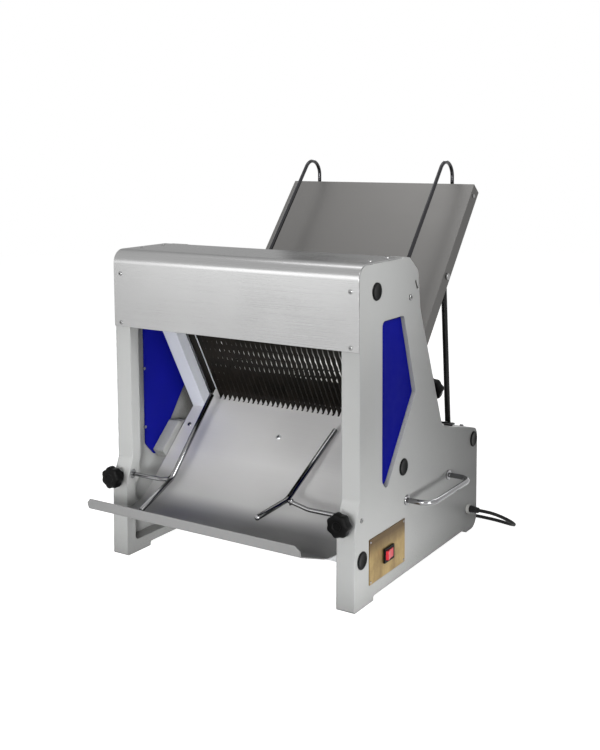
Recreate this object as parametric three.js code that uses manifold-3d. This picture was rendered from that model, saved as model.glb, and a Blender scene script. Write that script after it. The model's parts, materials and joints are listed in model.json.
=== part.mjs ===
// Table-top bread slicer: two hollow side castings joined by tie bars, a sloping infeed tray, two blade
// frames that reciprocate against each other in leaning guide rails, and a curved outfeed tray.
// Millimetres. X runs across the machine, Y from its front to its back and Z up from the floor.
import * as THREE from "three";
import { mergeVertices } from "three/addons/utils/BufferGeometryUtils.js";
import Module from "manifold-3d";

const wasm = await Module();
wasm.setup();

// Whole machine. Y is zero at the front of the cover.
const machineWidth = 550;
const coverHeight = 602.4;
const seat = 0.3; // gap between pieces that bear on each other
const slack = 0.5; // running gap of a piece that slides or turns
const overrun = 3; // how far a cutter passes a face
const screwSlack = 0.4; // round a screw or pin in its hole

// Chute: the sloping line that the loaf slides down, and the leaning plane of the blades that cross it.
const chuteAngle = 50.4;
const chuteTopY = 575.2;
const chuteTopZ = 718.3;
const cutDown = 571; // from the top edge of the infeed tray down the chute to the blades' front edges
const bladeLean = 28.5;

// Side castings: an outer skin with a deep rim round it, open towards the inside.
const castingDepth = 36;
const castingSkin = 8;
const castingLength = 498.5;
const frontRim = 24;
const rim = 14;
const soleHeight = 25;
const toeReach = 17;
const toeTopReach = 14;
const toeTopHeight = 150;
const toeBend = 40;
const shoulderHeight = 193;
const shoulderBend = 18;
const postRecess = 3;
const footLength = 68.5;
const archHeight = 8.8;
const heelLength = 62;
const archTaper = 14;
const heelBend = 25;
const boxRearHeight = 211;
const boxRearBend = 20;
const boxFrontY = 329.5;
const boxFrontHeight = 250.8;
const boxFrontBend = 20;
const napeY = 230;
const napeHeight = 500;
const napeBend = 40;
const crownY = 222;
const crownHeight = 572;
const crownBend = 20;
const crownFront = 185;
const crownFrontBend = 15;
const edgeBend = 4;
const pocketBend = 8;
const lugStart = 75; // the block above the outfeed tray's edge, from the cut down the tray
const lugEnd = 151;
const lugRise = 14;

// Window in each casting and the blue panel behind it.
const windowFront = 83;
const windowTop = 495;
const windowTopRear = 165;
const windowWaistY = 213;
const windowWaistZ = 345;
const windowFootY = 100;
const windowFootZ = 188;
const windowFrontFootZ = 206;
const windowBend = 9;
const panelSheet = 3;
const panelMargin = 12;

// Slot near the crown of each casting.
const slotY = 214;
const slotZ = 546;
const slotLength = 20;
const slotWidth = 6;
const slotDepth = 3;
const slotLean = 31;

// Front cover and the guard behind the blade frames' top bars.
const coverSheet = 2;
const coverDrop = 149.4;
const coverBend = 26;
const coverReach = 155;
const guardSheet = 1.5;
const guardDrop = 96;
const guardLip = 16;
const guardBend = 3;

// Trays.
const traySheet = 1.8;
const trayGap = 3; // between the outfeed tray's side edge and the casting
const infeedLength = 502;
const infeedHalfWidth = 228.7;
const infeedFlange = 30;
const infeedFlangeEnd = 6;
const infeedHem = 14;
const combPitch = 12;
const combSlot = 5;
const infeedSlotLength = 26;
const combReach = 18; // how far the outfeed comb's fingers pass the blades' front edges
const combRoot = 3; // from the slots' roots to the blades' front edges
const railClearance = 1.5; // between the outfeed tray's cut-outs and the guide rails
const troughY = 5.7; // corner where the tray's two flats would meet
const troughZ = 82.2;
const troughBend = 100;
const lipY = -122;
const lipZ = 130;
const lipHeight = 20;
const lipLean = 6;
const lipBend = 3;
const lipCorner = 9;

// Tie bars with their end bolts, and the caps over the bolts.
const tieRadius = 12;
const tieBolt = 5;
const tieHeadRadius = 9;
const tieHead = 7;
const counterbore = 12;
const bossRadius = 20;
const topTieY = 62;
const topTieZ = 551;
const rearTieInset = 19.5;
const trayTieDown = 79;
const footTieAngle = 14.3;
const capRadius = 16;
const capHeight = 2.6;
const capPlug = 3;

// Blade frames, in the frame of the cut: Y across the blades, Z along them.
const bladeCount = 31;
const bladeWidth = 12.7;
const bladeThickness = 0.8;
const bladeTop = 232; // from the chute up to the middle of the top bars
const bladeBottom = 58; // from the chute down to the middle of the bottom bars
const barHeight = 20;
const barDepth = 14.5;
const barGap = 2.5; // between the front bars and the blades
const tabReach = 6.5; // how far a blade's end goes into its bar
const tabInset = 2; // from a bar's top or bottom face to the blade's end
const toothCount = 9;
const toothPitch = 20.5;
const toothDepth = 2.4;
const toothStart = 12; // from the chute down to the lowest tooth
const slideBarWidth = 15.5;
const cornerWidth = 17;
const lugRadius = 9;
const lugThickness = 8;
const wristDrop = 37; // from the bottom bars' underside to the wrists

// Guide rails, open channels for the side bars of both blade frames.
const railWidth = 34;
const railFront = 25.5; // from the blades' front edges forward to the rail's front face
const railFlange = 5;
const railLip = 4;
const railLipGap = 1.5; // from the lip's rear edge to the blades' front edges
const railBase = 4;
const railRib = 5;
const railRibReach = 14;
const railRearFlange = 4;
const railRearReach = 20;
const railRear = 15; // base behind the rear flange
const railAbove = 290;
const railBelow = 92;
const railPadRadius = 10;
const railPadInset = 18;

// Crankshaft, connecting rods and their drive.
const crankThrow = 12.5;
const rodLength = 70;
const shaftRadius = 10;
const shaftEnd = 3; // from the crankshaft's end to the casting
const eccentricRadius = 24;
const eccentricWidth = 9;
const ringWall = 9;
const rodWidth = 8;
const rodShank = 14;
const rodEyeRadius = 9;
const rodEyeBore = 4;
const frontRodX = 150;
const rearRodX = 108;
const bearingRadius = 24;
const bearingDepth = 13.7;
const bearingPlate = 33;
const bearingPlateDepth = 6;
const crankPulleyRadius = 52;
const motorPulleyRadius = 26;
const pulleyWidth = 16;
const pulleyX = 190;
const pulleyHub = 16;
const beltDepth = 7;
const beltWidth = 9;
const motorY = 415;
const motorZ = 112;
const motorRadius = 52;
const motorRight = 118;
const motorLeft = -122;
const motorBell = 22;
const motorBellInset = 4;
const motorFinCount = 9;
const motorFin = 5;
const motorFinWidth = 3;
const motorShaft = 8;
const motorBore = 20;
const motorFoot = 66; // from the motor's axis down to the face of its foot
const motorFootHalf = 46;
const bracketSheet = 4;
const bracketFlange = 18;
const bracketHalfLength = 60;
const basePlateZ = 10;
const basePlateSheet = 3;
const basePlateFront = 272;
const basePlateLip = 16;
const basePlateRearLip = 30;
const basePlateBend = 12;
const rearCoverSheet = 1.5;
const rearCoverInset = 2;
const rearCoverFront = 348;
const rearCoverFoot = 28;
const louvreCount = 6;
const louvrePitch = 16;
const louvreHeight = 6;
const louvreWidth = 150;
const louvreTop = 150;

// Guides for the loaf and their star knobs.
const infeedGuideInset = 58.7; // from the tray's edge in to the rods
const infeedGuideHeight = 55;
const infeedRodRadius = 4;
const infeedArmDown = 508;
const infeedArmDrop = 30;
const infeedBend = 13;
const hookBend = 32;
const hookTailY = 590;
const hookTailZ = 716;
const outfeedGuideX = 131;
const outfeedArmY = 3;
const outfeedArmZ = 161;
const outfeedRodRadius = 5;
const outfeedArmRadius = 4;
const outfeedArmRise = 16;
const outfeedArmRun = 39; // sideways, from where the arm bends up to the rod
const outfeedArmBend = 30;
const outfeedRearLength = 188;
const outfeedFrontLength = 96;
const outfeedKink = 25;
const outfeedKinkBend = 40;
const outfeedTiltRight = 28;
const outfeedTiltLeft = 47;
const armGrip = 23; // how deep an arm stands in its casting at rest
const armTravel = 8; // room for the arm beyond that
const bushWall = 3.5;
const bushSlit = 1.2;
const knobRadius = 22;
const knobLobes = 7;
const knobLobeSteps = 4;
const knobLobeDepth = 2.6;
const knobThickness = 18;
const knobHub = 10;
const knobHubLength = 12.5;
const knobScrew = 4;
const knobGap = 1.5;
const screwBoss = 11;

// Tray struts and pivots.
const strutRadius = 6;
const strutTopDown = 226;
const strutTopDrop = 16;
const strutTopPass = 8; // of the strut beyond its pin
const strutPin = 4;
const strutPinHead = 7;
const strutPinHeadLength = 3.5;
const strutFootInset = 28.5; // from the castings' rear end
const strutFootLength = 24;
const strutFootWidth = 22;
const strutFootSheet = 4;
const pivotDown = 489;
const pivotDrop = 13;
const pivotRadius = 4;
const pivotBoss = 8;
const pivotPass = 5;

// Side handles.
const handleY = 178;
const handleZ = 147;
const handleSpan = 180;
const handleReach = 50;
const handleRadius = 5;
const handleBend = 26;
const handleFoot = 10;
const handleFootHeight = 3;

// Plate and switch on the right casting.
const plateFront = 35;
const plateLength = 133;
const plateZ = 33.5;
const plateHeight = 82;
const plateSheet = 1.5;
const switchY = 104;
const switchZ = 69.5;
const switchLength = 36;
const switchHeight = 26;
const switchFlange = 3;
const switchBody = 20;
const switchWell = 12;
const switchWall = 2;
const rockerPivotDepth = 3;
const rockerRise = 4.2;
const rockerDrop = 4.5;
const rockerEndRise = 5.5;
const rockerTilt = 8;
const rockerGap = 0.6;

// Mains cord, its gland, its coil and its plug.
const glandY = 452.5;
const glandZ = 50;
const glandRadius = 10;
const glandCollar = 6;
const glandNeck = 7.5;
const glandNose = 5.6;
const glandLength = 26;
const glandStem = 7;
const glandStemLength = 14;
const cordRadius = 3.5;
const cordLift = 0.1; // under the cord where it lies on the floor
const cordEnd = 7; // straight run at each end of a stretch
const coilRadius = 35; // middle of the turns
const coilPitch = 7.5;
const coilTurns = 6.5;
const coilSteps = 24;
const cordSides = 6;
const coilX = -40;
const coilY = 590;
const plugLength = 42;
const plugRadius = 17;
const plugNeck = 5;
const plugNeckLength = 24;
const plugRun = 46; // from the coil to the plug
const pinRadius = 2.4;
const pinLength = 19;
const pinSpread = 9.5;

// Facets.
const roundSides = 16;
const smallSides = 10;
const tubeSides = 8;
const arcSteps = 4;
const broadSteps = 8; // of the broad bends in the cover and the tray
const bendStepAngle = 30;
const weld = 1e-4;

const halfWidth = machineWidth / 2;
const innerFace = halfWidth - castingDepth;
const skinFace = halfWidth - castingSkin;
const coverBottom = coverHeight - coverDrop;
const castingTop = coverHeight - coverSheet - seat;
const castingFront = coverSheet + seat;
const rad = THREE.MathUtils.degToRad;

// A place by its distance down the chute from the top edge and its height off the tray, as [y, z].
function onChute(down, height) {
  const along = rad(chuteAngle);
  return [
    chuteTopY - down * Math.cos(along) - height * Math.sin(along),
    chuteTopZ - down * Math.sin(along) + height * Math.cos(along),
  ];
}
const [cutY, cutZ] = onChute(cutDown, 0);

// A place in the frame of the cut, across and along the blades, as [y, z] of the machine.
function onCut(across, along) {
  const lean = rad(bladeLean);
  return [
    cutY + across * Math.cos(lean) - along * Math.sin(lean),
    cutZ + across * Math.sin(lean) + along * Math.cos(lean),
  ];
}

// A closed geometry as a solid that can be joined and cut.
function solid(shape) {
  if (!shape.isBufferGeometry) return shape;
  const bare = shape.clone();
  bare.deleteAttribute("normal");
  bare.deleteAttribute("uv");
  const merged = mergeVertices(bare, weld);
  return new wasm.Manifold(
    new wasm.Mesh({
      numProp: 3,
      vertProperties: merged.attributes.position.array,
      triVerts: new Uint32Array(merged.index.array),
    }),
  );
}

function join(shapes) {
  return shapes.map(solid).reduce((a, b) => a.add(b));
}

function cut(shape, tools) {
  return tools.map(solid).reduce((a, b) => a.subtract(b), solid(shape));
}

function geometryOf(shape) {
  const { vertProperties, triVerts } = solid(shape).getMesh();
  const geometry = new THREE.BufferGeometry();
  geometry.setAttribute("position", new THREE.BufferAttribute(vertProperties, 3));
  geometry.setIndex(new THREE.BufferAttribute(triVerts, 1));
  geometry.computeVertexNormals();
  return geometry;
}

// A block between two places along each axis.
function block([x0, x1], [y0, y1], [z0, z1]) {
  const box = new THREE.BoxGeometry(x1 - x0, y1 - y0, z1 - z0);
  return box.translate((x0 + x1) / 2, (y0 + y1) / 2, (z0 + z1) / 2);
}

// A round bar along X between two places, centred at [y, z]. A second radius makes it a cone.
function roundX(radius, [x0, x1], [y, z], sides = smallSides, radiusTo = radius) {
  const bar = new THREE.CylinderGeometry(radiusTo, radius, x1 - x0, sides);
  return bar.rotateZ(rad(-90)).translate((x0 + x1) / 2, y, z);
}

// A round bar square to X, from [y, z] along a direction [y, z].
function spoke(radius, x, [y, z], [dy, dz], [from, to], sides = smallSides) {
  const bar = new THREE.CylinderGeometry(radius, radius, to - from, sides);
  bar.translate(0, (from + to) / 2, 0);
  return bar.rotateX(Math.atan2(dz, dy)).translate(x, y, z);
}

// The radius of a many-sided bore whose flats just clear a round piece.
function boreRadius(radius, sides) {
  return radius / Math.cos(Math.PI / sides);
}

// The closed outline through these corners, each [a, b, radius], with the corners rounded.
function rounded(corners, steps = arcSteps) {
  const points = [];
  corners.forEach(([a, b, radius], i) => {
    const here = new THREE.Vector2(a, b);
    if (!radius) {
      points.push(here);
      return;
    }
    const [pa, pb] = corners.at(i - 1);
    const [na, nb] = corners[(i + 1) % corners.length];
    const before = new THREE.Vector2(pa - a, pb - b).normalize();
    const after = new THREE.Vector2(na - a, nb - b).normalize();
    const half = Math.acos(before.dot(after)) / 2;
    const bisector = before.clone().add(after).normalize();
    const centre = here.clone().addScaledVector(bisector, radius / Math.sin(half));
    const start = here.clone().addScaledVector(before, radius / Math.tan(half)).sub(centre);
    const end = here.clone().addScaledVector(after, radius / Math.tan(half)).sub(centre);
    const turn = Math.atan2(start.cross(end), start.dot(end));
    for (let k = 0; k <= steps; k++) {
      const arm = start.clone().rotateAround(new THREE.Vector2(), (turn * k) / steps);
      points.push(centre.clone().add(arm));
    }
  });
  return points;
}

// The same corners, which run anticlockwise, moved inwards by one wall for each side. The wall of the
// side that starts at a corner is its fourth value, or one wall for all. A negative wall moves outwards.
function inset(corners, bend, wallForAll) {
  const side = (i) => {
    const [a, b, , wall = wallForAll] = corners.at(i);
    const [c, d] = corners[(i + 1 + corners.length) % corners.length];
    const along = new THREE.Vector2(c - a, d - b).normalize();
    return { from: new THREE.Vector2(a - along.y * wall, b + along.x * wall), along };
  };
  return corners.map(([, , radius], i) => {
    const one = side(i - 1);
    const two = side(i);
    const gap = two.from.clone().sub(one.from);
    const run = gap.cross(two.along) / one.along.cross(two.along);
    const meet = one.from.clone().addScaledVector(one.along, run);
    return [meet.x, meet.y, radius ? bend : 0];
  });
}

// An outline in the Y-Z plane, extruded along X.
function prismX(points, [x0, x1]) {
  const options = { depth: x1 - x0, bevelEnabled: false };
  const run = new THREE.ExtrudeGeometry(new THREE.Shape(points), options);
  const turn = new THREE.Matrix4().makeBasis(
    new THREE.Vector3(0, 1, 0),
    new THREE.Vector3(0, 0, 1),
    new THREE.Vector3(1, 0, 0),
  );
  return run.applyMatrix4(turn).translate(x0, 0, 0);
}

// An outline in the X-Y plane, extruded along Z.
function prismZ(points, [z0, z1]) {
  const options = { depth: z1 - z0, bevelEnabled: false };
  return new THREE.ExtrudeGeometry(new THREE.Shape(points), options).translate(0, 0, z0);
}

// A bent sheet of one thickness along an open line of corners. It lies to the left of the line, and to
// the right where the thickness is negative.
function sheet(corners, thickness, span, steps = arcSteps) {
  const line = corners.map(([a, b]) => new THREE.Vector2(a, b));
  const far = line.map((here, i) => {
    const into = here.clone().sub(line[Math.max(i - 1, 0)]).normalize();
    const out = line[Math.min(i + 1, line.length - 1)].clone().sub(here).normalize();
    const along = into.clone().add(out).normalize();
    const facing = into.lengthSq() ? into : out;
    const left = new THREE.Vector2(-along.y, along.x);
    const place = here.clone().addScaledVector(left, thickness / along.dot(facing));
    const bend = corners[i][2] ?? 0;
    return [place.x, place.y, bend && bend - Math.sign(into.cross(out)) * thickness];
  });
  return prismX(rounded([...corners, ...far.reverse()], steps), span);
}

// A path through a list of points, which keeps each of them.
class PointPath extends THREE.Curve {
  constructor(points) {
    super();
    this.points = points;
  }
  at(t) {
    return Math.round(t * (this.points.length - 1));
  }
  getPointAt(t) {
    return this.points[this.at(t)].clone();
  }
  getTangentAt(t) {
    const i = this.at(t);
    const here = this.points[i];
    const into = here.clone().sub(this.points[Math.max(i - 1, 0)]).normalize();
    const out = this.points[Math.min(i + 1, this.points.length - 1)].clone().sub(here);
    return into.add(out.normalize()).normalize();
  }
}

// The points of straight runs between these corners, with each inner corner bent to a radius.
function bent(corners, bends) {
  const points = [corners[0]];
  for (let i = 1; i < corners.length - 1; i++) {
    const bend = bends[i - 1];
    const back = corners[i - 1].clone().sub(corners[i]).normalize();
    const on = corners[i + 1].clone().sub(corners[i]).normalize();
    const half = back.angleTo(on) / 2;
    const middle = back.clone().add(on).normalize();
    const centre = corners[i].clone().addScaledVector(middle, bend / Math.sin(half));
    const start = corners[i].clone().addScaledVector(back, bend / Math.tan(half)).sub(centre);
    const end = corners[i].clone().addScaledVector(on, bend / Math.tan(half)).sub(centre);
    const turn = start.angleTo(end);
    const steps = Math.max(2, Math.ceil(turn / rad(bendStepAngle)));
    for (let k = 0; k <= steps; k++) {
      const arm = start.clone().multiplyScalar(Math.sin((1 - k / steps) * turn));
      arm.addScaledVector(end, Math.sin((k / steps) * turn));
      points.push(arm.divideScalar(Math.sin(turn)).add(centre));
    }
  }
  points.push(corners.at(-1));
  return points;
}

function circle(radius, sides, [a, b] = [0, 0]) {
  return Array.from({ length: sides }, (_, i) => {
    const turn = (2 * Math.PI * i) / sides;
    return new THREE.Vector2(a + radius * Math.cos(turn), b + radius * Math.sin(turn));
  });
}

function tube(points, radius, sides = tubeSides) {
  return new THREE.ExtrudeGeometry(new THREE.Shape(circle(radius, sides)), {
    steps: points.length - 1,
    extrudePath: new PointPath(points),
  });
}

function point(x, [y, z]) {
  return new THREE.Vector3(x, y, z);
}

const castPaint = { color: 0xb9bab9, roughness: 0.45, metalness: 0.35 };
const bluePaint = { color: 0x17148c, roughness: 0.4, metalness: 0.1 };
const stainless = { color: 0xc4c4c2, roughness: 0.35, metalness: 0.9 };
const bladeSteel = { color: 0x4a4b4c, roughness: 0.3, metalness: 0.95 };
const machinedSteel = { color: 0x8a8b8d, roughness: 0.4, metalness: 0.9 };
const galvanised = { color: 0x9fa2a3, roughness: 0.55, metalness: 0.7 };
const chrome = { color: 0xd8d9da, roughness: 0.12, metalness: 1 };
const darkRod = { color: 0x2a2a2c, roughness: 0.2, metalness: 0.9 };
const blackPaint = { color: 0x171717, roughness: 0.45, metalness: 0.2 };
const blackPlastic = { color: 0x141414, roughness: 0.5, metalness: 0 };
const whitePaint = { color: 0xdadcdc, roughness: 0.5, metalness: 0.1 };
const motorPaint = { color: 0x3c4248, roughness: 0.6, metalness: 0.3 };
const brass = { color: 0xb89a5e, roughness: 0.4, metalness: 0.85 };
const redPlastic = { color: 0xd4253c, roughness: 0.3, metalness: 0 };
const greyPlastic = { color: 0xc9c9c4, roughness: 0.5, metalness: 0 };
const rubber = { color: 0x1a1a1a, roughness: 0.75, metalness: 0 };

// One named piece of the machine, placed by a group or by its own position.
function piece(name, shape, finish, parent) {
  const geometry = shape.isBufferGeometry ? shape : geometryOf(shape);
  const mesh = new THREE.Mesh(geometry, new THREE.MeshStandardMaterial(finish));
  mesh.name = name;
  parent.add(mesh);
  return mesh;
}

// A right piece and its mirror image on the left.
function pair(name, shapeOf, finish, parent) {
  for (const side of ["right", "left"]) {
    const mesh = piece(name + "_" + side, shapeOf(side), finish, parent);
    mesh.scale.x = side === "right" ? 1 : -1;
  }
}

const machine = new THREE.Group();
const cutGroup = new THREE.Group();
cutGroup.position.set(0, cutY, cutZ);
cutGroup.rotation.x = rad(bladeLean);
const chuteGroup = new THREE.Group();
chuteGroup.position.set(0, chuteTopY, chuteTopZ);
chuteGroup.rotation.x = rad(chuteAngle);
machine.add(cutGroup, chuteGroup);

// The outfeed tray runs straight from the cut, round the trough and up to the lip.
const trayRun = new THREE.Vector2(troughY - cutY, troughZ - cutZ).normalize();
const trayUnder = new THREE.Vector2(-trayRun.y, trayRun.x);
const troughCentre = (() => {
  const corner = new THREE.Vector2(troughY, troughZ);
  const back = new THREE.Vector2(cutY, cutZ).sub(corner).normalize();
  const on = new THREE.Vector2(lipY, lipZ).sub(corner).normalize();
  const half = Math.acos(back.dot(on)) / 2;
  return corner.addScaledVector(back.add(on).normalize(), troughBend / Math.sin(half));
})();

// A place by its distance down the outfeed tray from the cut and its depth below the tray's upper face.
function onTray(down, depth) {
  return [
    cutY + trayRun.x * down + trayUnder.x * depth,
    cutZ + trayRun.y * down + trayUnder.y * depth,
  ];
}

// Where the tie bars stand, as [y, z].
const tieOffset = traySheet + seat + tieRadius;
const footTieReach = troughBend + tieOffset;
const tiePlaces = {
  top: [topTieY, topTieZ],
  tray: onTray(trayTieDown, tieOffset),
  trough: [
    troughCentre.x + Math.sin(rad(footTieAngle)) * footTieReach,
    troughCentre.y - Math.cos(rad(footTieAngle)) * footTieReach,
  ],
  rear: [castingLength - rearTieInset, boxRearHeight - rearTieInset],
};

// Casting outline, anticlockwise from the toe: y, z, bend and the rim along the side that starts there.
const castingCorners = [
  [-toeReach, 0, edgeBend, soleHeight],
  [castingLength, 0, heelBend, rim],
  [castingLength, boxRearHeight, boxRearBend, rim],
  [boxFrontY, boxFrontHeight, boxFrontBend, rim],
  [napeY, napeHeight, napeBend, rim],
  [crownY, crownHeight, crownBend, rim],
  [crownFront, castingTop, crownFrontBend, rim],
  [castingFront, castingTop, coverBend - castingFront, frontRim],
  [castingFront, coverBottom, 0, 0],
  [postRecess, coverBottom, 0, frontRim],
  [postRecess, shoulderHeight, shoulderBend, frontRim],
  [-toeTopReach, toeTopHeight, toeBend, frontRim],
];
const windowCorners = [
  [windowFront, windowFrontFootZ, windowBend],
  [windowFootY, windowFootZ, windowBend],
  [windowWaistY, windowWaistZ, windowBend],
  [windowTopRear, windowTop, windowBend],
  [windowFront, windowTop, windowBend],
];

// Places of the drive, the guides' arms and the tray's pivots, as [y, z].
const barRear = barDepth + barGap; // a front bar's front face, ahead of the blades' front edges
const slideFront = slack - railLipGap;
const slideRear = slideFront + barDepth;
const ribFront = slideRear + slack;
const rearBarFront = ribFront + railRib + slack;
const rearBarRear = rearBarFront + barDepth;
const crankAcross = (rearBarFront - barGap) / 2;
const wristAlong = -bladeBottom - barHeight / 2 - wristDrop;
const rodRise = Math.sqrt(rodLength ** 2 - crankThrow ** 2);
const crankAlong = wristAlong - rodRise;
const crankPlace = onCut(crankAcross, crankAlong);
const infeedArm = onChute(infeedArmDown, -infeedArmDrop);
const outfeedArm = [outfeedArmY, outfeedArmZ];
const pivotPlace = onChute(pivotDown, -pivotDrop);
const armEnd = innerFace + armGrip;
const bushEnd = skinFace - seat;
const bushRadius = outfeedArmRadius + seat + bushWall;
const knobX = (innerFace + halfWidth) / 2;
const railInner = innerFace - seat - railWidth;
const railGate = railInner - railClearance; // half width of all that passes between the rails' lips
const slideOuter = innerFace - seat - railBase - slack;
const slideInner = slideOuter - slideBarWidth;

// Each star knob's axis runs from the arm square to the casting's face, as [y, z], with the distance.
const napeRun = new THREE.Vector2(napeY - boxFrontY, napeHeight - boxFrontHeight).normalize();
const infeedKnob = {
  axis: [napeRun.y, -napeRun.x],
  face:
    (boxFrontY - infeedArm[0]) * napeRun.y - (boxFrontHeight - infeedArm[1]) * napeRun.x,
};
const outfeedKnob = { axis: [-1, 0], face: outfeedArmY + toeTopReach };

function slotTool() {
  const along = new THREE.Vector2(Math.sin(rad(slotLean)), -Math.cos(rad(slotLean)));
  const corners = [
    [-slotLength, -slotWidth],
    [slotLength, -slotWidth],
    [slotLength, slotWidth],
    [-slotLength, slotWidth],
  ].map(([a, b]) => [
    slotY + (along.x * a - along.y * b) / 2,
    slotZ + (along.y * a + along.x * b) / 2,
    slotWidth / 2 - seat,
  ]);
  return prismX(rounded(corners, 3), [halfWidth - slotDepth, halfWidth + overrun]);
}

function switchHole(depthFrom, depthTo) {
  const y = switchLength / 2 - switchWall;
  const z = switchHeight / 2 - switchWall;
  return block([depthFrom, depthTo], [switchY - y, switchY + y], [switchZ - z, switchZ + z]);
}

// The block above the outfeed tray's edge, grown by a margin.
function lugOutline(margin) {
  const corners = [
    onTray(lugStart, -lugRise),
    onTray(lugEnd, -lugRise),
    onTray(lugEnd, tieOffset),
    onTray(lugStart, tieOffset),
  ].map(([y, z]) => [y, z, edgeBend]);
  return rounded(inset(corners, edgeBend, -margin), 3);
}

// The outline is one thick block, hollowed from the inside, with bosses left or added in the hollow.
function sideFrame(side) {
  const inward = [innerFace, skinFace];
  const through = [innerFace - overrun, halfWidth + overrun];
  const ties = Object.values(tiePlaces);
  const railPads = [railAbove - railPadInset, railPadInset - railBelow].map((along) =>
    onCut(crankAcross, along),
  );
  const bosses = join([
    ...ties.map((place) => roundX(bossRadius, inward, place)),
    ...railPads.map((place) => roundX(railPadRadius, inward, place)),
    prismX(lugOutline(0), inward),
    roundX(bearingPlate, inward, crankPlace, roundSides),
    roundX(bushRadius + rim, inward, outfeedArm, roundSides),
    roundX(infeedRodRadius + rim, inward, infeedArm),
    roundX(pivotBoss, inward, pivotPlace),
    spoke(screwBoss, knobX, infeedArm, infeedKnob.axis, [0, infeedKnob.face - edgeBend]),
  ]);
  const outline = rounded(castingCorners);
  const hollow = rounded(inset(castingCorners, pocketBend), 3);
  const arch = [
    [footLength - toeReach, -overrun, 0],
    [castingLength - heelLength + archTaper, -overrun, 0],
    [castingLength - heelLength, archHeight, edgeBend],
    [footLength - toeReach, archHeight, edgeBend],
  ];
  const shell = cut(prismX(outline, [innerFace, halfWidth]), [
    prismX(hollow, [innerFace - overrun, skinFace]),
  ]);
  const pivot = [
    roundX(pivotBoss, [infeedHalfWidth + seat, skinFace], pivotPlace),
    roundX(pivotRadius, [infeedHalfWidth - traySheet - pivotPass, skinFace], pivotPlace),
  ];
  const filled = solid(prismX(outline, inward)).intersect(bosses);
  const holes = [
    prismX(rounded(arch), through),
    prismX(rounded(windowCorners), [skinFace - overrun, halfWidth + overrun]),
    slotTool(),
    ...ties.flatMap((place) => [
      roundX(tieBolt + screwSlack, through, place),
      roundX(tieHeadRadius + screwSlack, [halfWidth - counterbore, through[1]], place),
    ]),
    roundX(boreRadius(bushRadius + seat, smallSides), [through[0], skinFace], outfeedArm),
    roundX(outfeedArmRadius + seat, [through[0], armEnd + armTravel], outfeedArm),
    roundX(infeedRodRadius + seat, [through[0], armEnd + armTravel], infeedArm),
    ...[
      [infeedArm, infeedKnob],
      [outfeedArm, outfeedKnob],
    ].map(([arm, { axis, face }]) =>
      spoke(knobScrew + screwSlack, knobX, arm, axis, [0, face + overrun]),
    ),
  ];
  if (side === "right") {
    holes.push(
      switchHole(skinFace - overrun, through[1]),
      roundX(glandStem + screwSlack, [skinFace - overrun, through[1]], [glandY, glandZ]),
    );
  }
  return cut(join([shell, filled, ...pivot]), holes);
}

function windowPanel() {
  const outline = rounded(inset(windowCorners, windowBend, -panelMargin));
  const panel = prismX(outline, [skinFace - seat - panelSheet, skinFace - seat]);
  return cut(panel, [prismX(lugOutline(slack), [innerFace, skinFace])]);
}

function frontCover() {
  const corners = [
    [coverReach, coverHeight],
    [0, coverHeight, coverBend],
    [0, coverBottom],
  ];
  return sheet(corners, coverSheet, [-halfWidth, halfWidth], broadSteps);
}

function rearGuard() {
  const corners = [
    [coverReach, castingTop - guardDrop],
    [coverReach, castingTop, guardBend],
    [coverReach - guardLip, castingTop],
  ];
  return sheet(corners, guardSheet, [seat - innerFace, innerFace - seat], 3);
}

// Slots between the fingers of a comb, one for each blade.
function combSlots(y, z) {
  return Array.from({ length: bladeCount }, (_, i) => {
    const x = (i - (bladeCount - 1) / 2) * combPitch;
    return block([x - combSlot / 2, x + combSlot / 2], y, z);
  });
}

// In the chute's frame: Y up the slope from the top edge and Z off the sheet.
function infeedTray() {
  const half = infeedHalfWidth;
  const flangeEnd = infeedFlangeEnd - infeedLength;
  const across = [-half - overrun, half + overrun];
  const body = join([
    block([-half, half], [-infeedLength, 0], [-traySheet, 0]),
    block([-half, half], [-traySheet, 0], [-infeedHem, 0]),
    block([-half, traySheet - half], [flangeEnd, 0], [-infeedFlange, 0]),
    block([half - traySheet, half], [flangeEnd, 0], [-infeedFlange, 0]),
  ]);
  return cut(body, [
    roundX(strutPin + screwSlack, across, [-strutTopDown, -strutTopDrop]),
    roundX(pivotRadius + screwSlack, across, [-pivotDown, -pivotDrop]),
    ...combSlots(
      [-infeedLength - overrun, infeedSlotLength - infeedLength],
      [-traySheet - overrun, overrun],
    ),
  ]);
}

// Cut-outs at the tray's rear corners let the guide rails through, and slots let the blades through.
function outfeedTray() {
  const half = innerFace - trayGap;
  const tip = onTray(-combReach, 0);
  const lipTop = [lipY - lipLean, lipZ + lipHeight];
  const corners = [tip, [troughY, troughZ, troughBend], [lipY, lipZ, lipBend], lipTop];
  const body = sheet(corners, traySheet, [-half, half], broadSteps);
  const depth = [-railFront, railFront];
  const toMachine = (shape) => shape.rotateX(rad(bladeLean)).translate(0, cutY, cutZ);
  const tools = combSlots([-combRoot, combReach + overrun], depth);
  const cornerWide = lipCorner * Math.SQRT2;
  for (const side of [-1, 1]) {
    const edges = [railGate * side, (half + overrun) * side].sort((a, b) => a - b);
    tools.push(block(edges, [-railFront - railClearance, combReach + overrun], depth));
  }
  const trims = [-half, half].map((x) => {
    const square = [-cornerWide / 2, cornerWide / 2];
    const trim = block(square, [-lipCorner - lipLean, lipCorner + lipLean], square);
    return trim.rotateY(rad(45)).translate(x, ...lipTop);
  });
  return cut(body, [...tools.map(toMachine), ...trims]);
}

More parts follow.
